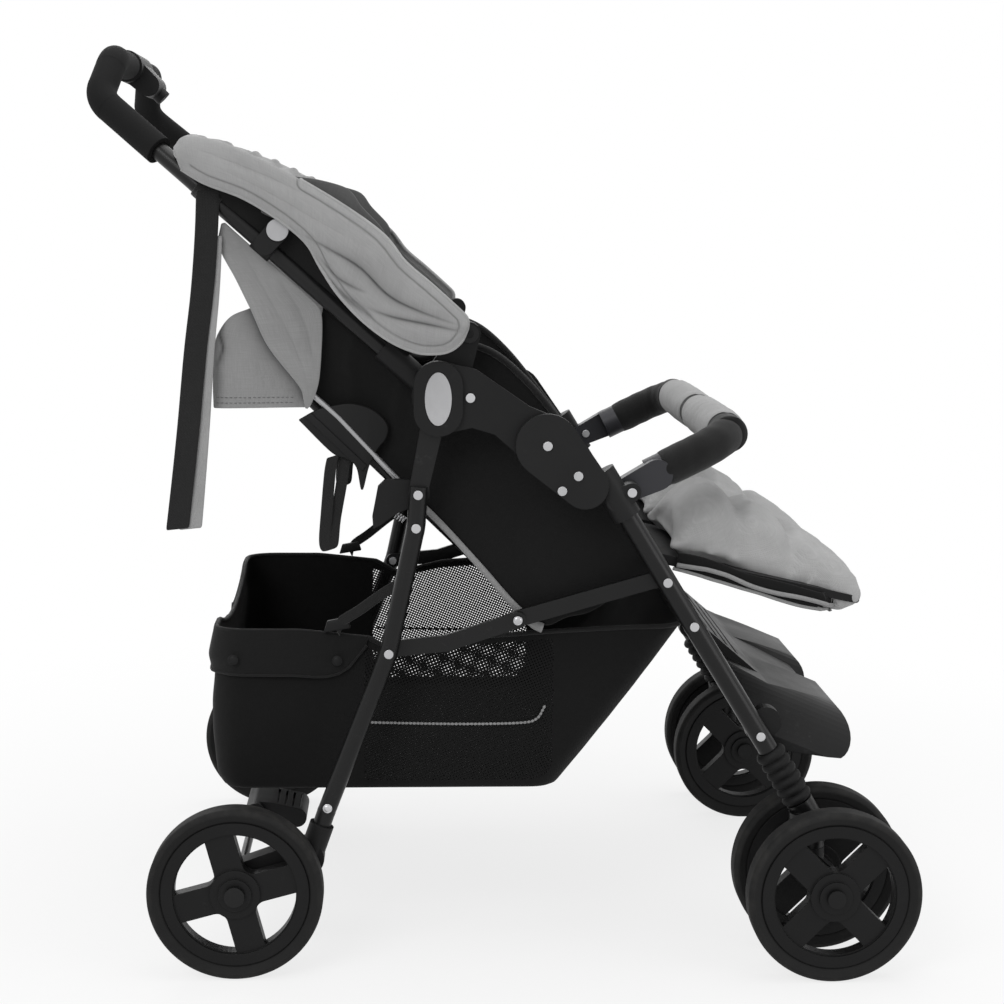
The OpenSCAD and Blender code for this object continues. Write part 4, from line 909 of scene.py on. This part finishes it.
wrap = tube_skin("bumper_padding", bar_line, wrap_radius, bar_cloth)
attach(wrap, "bumper")
sleeve_grey = cloth_finish("sleeve_grey_cloth", 0.35, 0.26, 0.0012, 0.6, sheen=0.3)
sleeve_end, sleeve_gap = 205, 11
for n, (y0, y1) in enumerate(((-sleeve_end, -sleeve_gap), (sleeve_gap, sleeve_end))):
    def sleeve_radius(t, a):
        """Fuller in the middle, with a lengthwise seam and drawn-in ends."""
        uneven = noise.noise((t * 14, 2 * math.cos(a), 2 * math.sin(a) + n))
        ends = math.exp(-(t / 0.02) ** 2) + math.exp(-((1 - t) / 0.02) ** 2)
        return (0.0222 + 0.0009 * math.sin(math.pi * t) ** 0.5 + 0.0007 * uneven
                - 0.0012 * math.exp(-((a - 4.4) / 0.09) ** 2) - 0.0012 * ends)

    line = [spot(*bar_corner, y) for y in np.linspace(y0, y1, 60)]
    sleeve = tube_skin("bumper_sleeve_%d" % (n + 1), line, sleeve_radius, sleeve_grey, 40)
    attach(sleeve, "bumper")
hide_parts("bumper_sleeves")

# Backrest fittings: a moulded grip on each outer side of a backrest, a bare steel rod that passes
# behind it, and a black web loop that hangs from it for setting the recline.


def plate(name, outline, y0, y1, finish, rounding=0.0016):
    """A moulded plate cut to an outline in the side view, with rounded edges."""
    bm = bmesh.new()
    low = [bm.verts.new(spot(x, z, y0)) for x, z in outline]
    high = [bm.verts.new(spot(x, z, y1)) for x, z in outline]
    bm.faces.new(low)
    bm.faces.new(high[::-1])
    for i in range(len(outline)):
        j = (i + 1) % len(outline)
        bm.faces.new((low[i], high[i], high[j], low[j]))
    bmesh.ops.recalc_face_normals(bm, faces=bm.faces)
    mesh = bpy.data.meshes.new(name)
    bm.to_mesh(mesh)
    bm.free()
    mesh.materials.append(finish)
    obj = added(name, mesh)
    soft = obj.modifiers.new("rounding", "BEVEL")
    soft.width, soft.segments, soft.limit_method, soft.angle_limit = rounding, 3, "ANGLE", 0.9
    settle(obj)
    obj.data.shade_smooth()
    return obj


grip_outline = [(67, 601), (87, 612), (107, 617), (124, 619), (143, 614.5), (157, 605), (164, 594), (161.5, 581),
                (153, 570), (148.5, 561), (143, 550), (137, 526), (134, 526), (129, 550), (118, 559), (102, 566)]
steel_rod = hard_finish("bare_steel_rod", 0.36, 0.36, 1800.0, 0.00004, 0.5, 0.25, metal=0.85)
for s, side_y in both_sides:
    grip = plate("recline_grip_" + s, trace(grip_outline + grip_outline[:1], 70)[:-1], 249.0 * side_y, 253.4 * side_y,
                 black_nylon)
    rib = plate("recline_grip_rib_" + s, [(74, 604), (81, 609), (141, 552), (136, 545)], 252.8 * side_y,
                255.2 * side_y, black_nylon, 0.001)
    rod_line = [spot(x, z, 251.6 * side_y) for x, z in ((82, 629), (110, 604), (178, 532))]
    rod = grow("recline_rod_" + s, piping, [rod_line], steel_rod, Radius=0.0032)
    for piece in (grip, rib, rod):
        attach(piece, "backrest_" + s)
    loop_line = trace([(104, 562), (101, 545), (97, 500), (95, 470), (98, 459), (103, 462), (106, 490), (113, 530),
                       (117, 560)], 60)
    loop_y = [side_y * (251.2 + 2.4 * math.cos(math.pi * i / 59) + 0.5 * math.sin(i * 0.4)) for i in range(60)]
    rows = [[(x + j * 2.2, y, z + j * 0.7) for (x, z), y in zip(loop_line, loop_y)] for j in range(-3, 4)]
    loop = cloth_net("recline_loop_" + s, to_spots(rows), webbing, 0.0016)
    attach(loop, "backrest_" + s)

# Fold lock springs and basket hangers: a coil of plated wire returns each hook, and a web strap with
# a small slide holds each rear corner of the basket up to the rear leg.
for s, side_y in both_sides:
    a, b = spot(164, 506, 270 * side_y), spot(182, 494, 270 * side_y)
    run = (b - a).normalized()
    u = run.cross(Vector((0, 1, 0))).normalized()
    w = run.cross(u)
    coil = [a + (b - a) * t + (u * math.cos(t * 44) + w * math.sin(t * 44)) * 0.0036 for t in np.linspace(0, 1, 150)]
    spring = grow("hook_spring_" + s, piping, [coil], plated_steel, Radius=0.0007, Step=0.0008)
    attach(spring, "rear_frame")
    hang_line = trace([(108, 366), (112, 378), (132, 392), (158, 412), (176, 424)], 26)
    rows = [[(x - 0.45 * j * 3, side_y * (247.5 + 18 * i / 25), z + 0.89 * j * 3)
             for i, (x, z) in enumerate(hang_line)] for j in range(-2, 3)]
    hanger = cloth_net("basket_hanger_" + s, to_spots(rows), webbing, 0.0016)
    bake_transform(hanger)
    slide = plate("basket_slide_" + s, [(93, 366), (97, 379), (119, 383), (123, 371)], 244.0 * side_y, 251.0 * side_y,
                  black_nylon)
    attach(slide, "chassis")

# Rear drape: grey polyester that hangs below the folded canopy. On each side a sash runs down from
# the handle tube and folds over a rounded lobe, and a gathered back joins the two lobes.
drape_grey = cloth_finish("drape_grey_cloth", 0.3, 0.22, 0.0011, 0.6, sheen=0.3)
thread_grey = hard_finish("grey_sewing_thread", 0.16, 0.7, 3000.0, 0.00002, 0.2, 0.12)
lobe_rear = trace([(-24, 613), (-24.5, 640), (-23, 669), (-19, 690), (-5, 711), (17, 721)], 44)
lobe_front = trace([(80, 615), (84, 640), (72, 665), (55, 690), (42, 708), (30, 717)], 44)
sash_rear = np.vstack([trace([(-12, 810), (-15, 786), (2, 752), (17, 721)], 30),
                       trace([(17, 721), (36, 680), (68, 639), (73, 626), (75, 614)], 40)[1:]])
sash_front = np.vstack([trace([(-9, 811), (-1, 804), (29, 778), (59, 752), (88, 726)], 30),
                        trace([(88, 726), (93, 716), (93.5, 690), (90, 645), (82, 620), (77, 613.5)], 40)[1:]])
# Each fold: its route, width and depth in millimetres, and how strongly shade is painted into its crease.
lobe_folds = [([(-9, 708), (-16, 694), (-13, 678), (-20, 656)], 4, 3.0, 0.9),
              ([(6, 704), (-4, 676), (-2, 640)], 10, 2.2, 0.0), ([(40, 665), (30, 645), (30, 620)], 12, 1.6, 0.0)]
sash_folds = [([(4, 790), (40, 726), (64, 680), (80, 632)], 11, 2.6, 0.12),
              ([(46, 756), (74, 706), (86, 650)], 8, 2.0, 0.15)]
sides = {}
for s, side_y in both_sides:
    t = np.linspace(0, 1, 40)
    x, z = ruled(lobe_rear, lobe_front, t)
    dip, painted_fold_shade = relief(x, z, lobe_folds)
    y = 256.4 + dip + crumple_net(x, 200 * side_y, z, 15, 1.2) - 6 * (np.clip(-4 - x, 0, 30) / 20) ** 2
    lobe = np.stack([x, side_y * np.clip(y, 248.5, 257.6), z], -1)
    # Painted shadow: the lobe is darkened beside the line where the sash folds over it, on top of the painted shade
    # in its creases.
    shade = np.maximum(painted_fold_shade, 0.85 * np.exp(-near_line(x, z, sash_rear[28::6])[0] / 10))
    x, z = ruled(sash_rear, sash_front, t)
    dip, painted_fold_shade = relief(x, z, sash_folds)
    y = 260.6 + 2.0 * np.sin(np.pi * t) ** 0.7 + dip + crumple_net(x, 300 * side_y, z, 15, 1.0)
    y = y - 2.4 * np.clip(1 - t / 0.1, 0, 1) ** 2
    y = 258.4 + (np.clip(y, 257, 262.8) - 258.4) * np.clip((z - 616) / 34, 0, 1)
    sash = np.stack([x, side_y * y, z], -1)
    sides[s] = lobe
    part = cloth_net("drape_side_" + s, [to_spots(lobe), to_spots(sash)], drape_grey, crease=[shade, painted_fold_shade])
    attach(part, "handle_frame")
gathers = 7
t, up = np.meshgrid(np.linspace(-1, 1, 90), np.linspace(0, 1, 24))
rim_x = np.interp(613 + 98 * up, lobe_rear[:, 1], lobe_rear[:, 0])
turned = np.clip((abs(t) - 0.86) / 0.14, 0, 1)
gather = 0.5 - 0.5 * np.cos(np.pi * gathers * (t + 1))
y, z = 252 * t, 613 + 98 * up - 10 * up ** 2 * (1 - t * t)
x = rim_x - 3.4 * gather * (1 - turned) * (0.4 + 0.6 * up) + crumple_net(300, y, z, 14, 1.4) + 4 * turned ** 2
back = np.stack([x, y, z], -1)
# Painted shade in the hollows between the gathers, stronger towards the top.
drape = cloth_net("drape_back", to_spots(back), drape_grey, crease=[0.5 * (1 - gather) ** 4 * up])
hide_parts("rear_curtain")
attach(drape, "handle_frame")
hem_lines = [to_spots(back[k, 3:-3] - (1.0, 0, 0)) for k in (1, 2)]
hem_lines += [to_spots(sides[s][k, 2:-8] + (0, side_y, 0)) for k in (2, 4) for s, side_y in both_sides]
hem = grow("drape_hem_stitches", stitching, hem_lines, thread_grey, Pitch=0.0048, Length=0.0034, Thread=0.00045)
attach(hem, "handle_frame")

# Canopy: grey polyester folded back over its wire bow, a soft band down each side to the pivot and a
# pleated roof across the top. The edge is bound in grey tape, a dark lining shows at the fold, and a
# black skirt joins each band to the handle tube.


def handle_at(a):
    """A place on the handle tube in the side view, a millimetres up from its hub."""
    return 217 - 0.753 * a, 629 + 0.658 * a


front_out = 22
canopy_grey = cloth_finish("canopy_grey_cloth", 0.36, 0.27, 0.0011, 0.6, sheen=0.3)
hood_low = trace([(247, 705), (240, 690), (227, 680.5), (210, 678), (192, 680), (166, 691), (138, 711), (112, 738),
                  (93, 767), (79, 791), (52, 814), (14, 837), (-26, 852), (-50, 866)], 190)
hood_high = trace([(247, 706.5), (246, 715), (234, 727), (208, 750), (182, 772), (159, 800), (118, 829), (72, 856),
                   (33, 876), (-8, 893), (-44, 899), (-57, 888)], 190)
# Each fold: its route, width and depth in millimetres, and how strongly shade is painted into its crease.
hood_folds = [([(70, 803), (104, 784), (136, 765), (172, 733), (240, 706)], 9.0, 7.0, 1.0),
              ([(138, 727), (168, 716), (206, 708), (244, 700)], 7.0, 6.0, 0.9),
              ([(60, 812), (88, 775), (108, 748), (140, 718)], 6.0, 5.0, 0.6),
              ([(90, 780), (110, 757), (128, 746), (146, 739)], 5.0, 4.5, 0.7),
              ([(-20, 870), (40, 842), (100, 808), (150, 782)], 16.0, 4.0, 0.0),
              ([(-40, 888), (30, 862), (100, 830)], 10.0, 3.0, 0.1),
              ([(112, 741), (136, 726), (158, 704)], 5.0, 4.0, 0.5),
              ([(96, 760), (118, 736), (150, 712)], 4.0, 3.0, 0.4)]
first = int(np.argmax(hood_high[:, 0] < 74))
t = np.linspace(0, 1, 61)
x, z = ruled(hood_low, hood_high, t, down=True)
dip, painted_fold_shade = relief(x, z, hood_folds)
to_edge = np.minimum(near_line(x, z, hood_low[::6])[0], near_line(x, z, hood_high[:first:6])[0])
seam = np.exp(-((to_edge - 8.5) / 1.1) ** 2) * (x > -40)
swell = 10.0 * np.sin(np.pi * t[:, None]) ** 0.6 * np.clip((250 - x) / 40, 0, 1) ** 0.5
bands = {}
for s, side_y in both_sides:
    y = 291.5 + swell + dip - 1.2 * seam + crumple_net(x, 400 * side_y, z, 12, 1.6) * np.sin(np.pi * t[:, None])
    front = np.clip((x - 120) / 60, 0, 1)
    bands[s] = np.stack([x, side_y * (np.maximum(y, 290.4) + front_out * front ** 2 * (3 - 2 * front)), z], -1)
rim = {s: np.vstack([bands[s][-1, first:], bands[s][-2::-1, -1]]) for s in bands}
steps = np.diff(rim["right"][:, [0, 2]], axis=0, prepend=rim["right"][:1, [0, 2]])
run = np.cumsum(np.hypot(*steps.T))
lean = np.gradient(rim["right"][:, [0, 2]], axis=0)
lean = lean / np.maximum(1e-6, np.hypot(*lean.T))[:, None]
t = np.linspace(0, 1, 71)
y = rim["right"][:, 1:2] + (rim["left"][:, 1:2] - rim["right"][:, 1:2]) * t
bell = 1 - (2 * t - 1) ** 8
wave = np.sin(run[:, None] * 0.24 + 0.8 * np.sin(t * 9))
fold = (4.5 * wave - 3) * bell
sag = 13 * (1 - (2 * t - 1) ** 2) * np.clip(1 - abs(run[:, None] - 60) / 110, 0, 1)
roof_x = rim["right"][:, :1] - lean[:, 1:2] * fold
roof_z = rim["right"][:, 2:] + lean[:, :1] * fold - sag + crumple_net(run[:, None] + 0 * t, y, 300, 10, 2.0) * bell
roof = np.stack([roof_x, y, roof_z], -1)
# Painted shade in the hood's creases and along the sunk seam line near its edges.
side_shade = np.maximum(painted_fold_shade, 0.6 * seam)
# Painted shade in the hollows of the roof pleats.
roof_shade = 0.5 * np.clip(-wave, 0, 1) ** 3 * bell
hood = cloth_net("canopy_hood", [to_spots(g) for g in (bands["right"], bands["left"], roof)], canopy_grey, smooth=0,
                 crease=[side_shade, side_shade, roof_shade])
tape = [*bands["right"][0, ::-1], *bands["right"][-1, :first + 1], *roof[0], *bands["left"][-1, first::-1],
        *bands["left"][0]]
binding_tape = cloth_finish("canopy_binding_tape", 0.39, 0.29, 0.0009, 0.5, by_uv=False)
binding = grow("canopy_binding", piping, [to_spots(tape)], binding_tape, Radius=0.0023)
lining_top = trace([(44, 868), (61, 861), (90, 857), (117, 850), (127, 843), (136, 830), (157, 808), (162, 796)], 40)
lining_cloth = cloth_finish("dark_lining", 0.11, 0.07, 0.0011, 0.5)
lining = []
for s, side_y in both_sides:
    rows = [[(x - 14 * k, side_y * (280.6 - 1.2 * math.sin(x * 0.2) * (1 - k)), z - 46 * k) for x, z in lining_top]
            for k in np.linspace(0, 1, 8)]
    lining.append(cloth_net("canopy_lining_" + s, to_spots(rows), lining_cloth))
skirt_low = trace([handle_at(a) for a in (52, 120, 200, 280, 322)], 50)
skirt_high = trace([(204, 692), (166, 711), (138, 732), (112, 758), (93, 787), (75, 810), (52, 832), (14, 853),
                    (-16, 866)], 50)
for s, side_y in both_sides:
    t = np.linspace(0, 1, 12)
    x, z = ruled(skirt_low, skirt_high, t, down=True)
    y = 263 + 17 * t[:, None] ** 0.6 + crumple_net(x, 500 * side_y, z, 14, 1.2) * np.sin(np.pi * t[:, None])
    skirt = cloth_net("canopy_skirt_" + s, to_spots(np.stack([x, side_y * y, z], -1)), black_polyester)
    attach(skirt, "handle_frame")
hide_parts("canopy_cover")
for piece in (hood, binding, *lining):
    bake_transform(piece)

# Wrist strap: black nylon web sewn in a loop round the right handle tube, with a lighter grey web
# behind it, hanging free beside the drape.
strap_mid = trace([(-25, 846), (-27, 800), (-32, 740), (-40, 677), (-48, 600), (-55, 540), (-62, 484)], 60)
grey_web = cloth_finish("grey_webbing", 0.34, 0.26, 0.0016, 0.4, rough=0.7, depth=0.0005)
hang = []
for name, shift, deep, first_z, finish in (("wrist_strap", 0, 271.4, 900, webbing),
                                           ("wrist_strap_lining", 9, 268.6, 800, grey_web)):
    rows = []
    for j in range(-4, 5):
        rows.append([])
        for x, z in strap_mid[strap_mid[:, 1] < first_z]:
            aside = 0.45 * shift + shift * (800 - z) / 300 if shift else 0
            rows[-1].append((x + aside + j * 3.1, -(deep + 0.8 * math.sin(z * 0.021 + j * 0.25)), z + j * 0.3))
    web = cloth_net(name, to_spots(rows), finish, 0.0016)
    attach(web, "handle_frame")
    hang.append(web)
ring_line = [spot(*handle_at(a), -(269 - 0.0356 * (a - 34))) for a in np.linspace(306, 336, 10)]
ring = tube_skin("wrist_strap_loop", ring_line, lambda t, a: 0.0122 + 0.0004 * math.sin(a * 3 + t * 4), webbing)
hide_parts("hand_strap")
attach(ring, "handle_frame")

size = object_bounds()
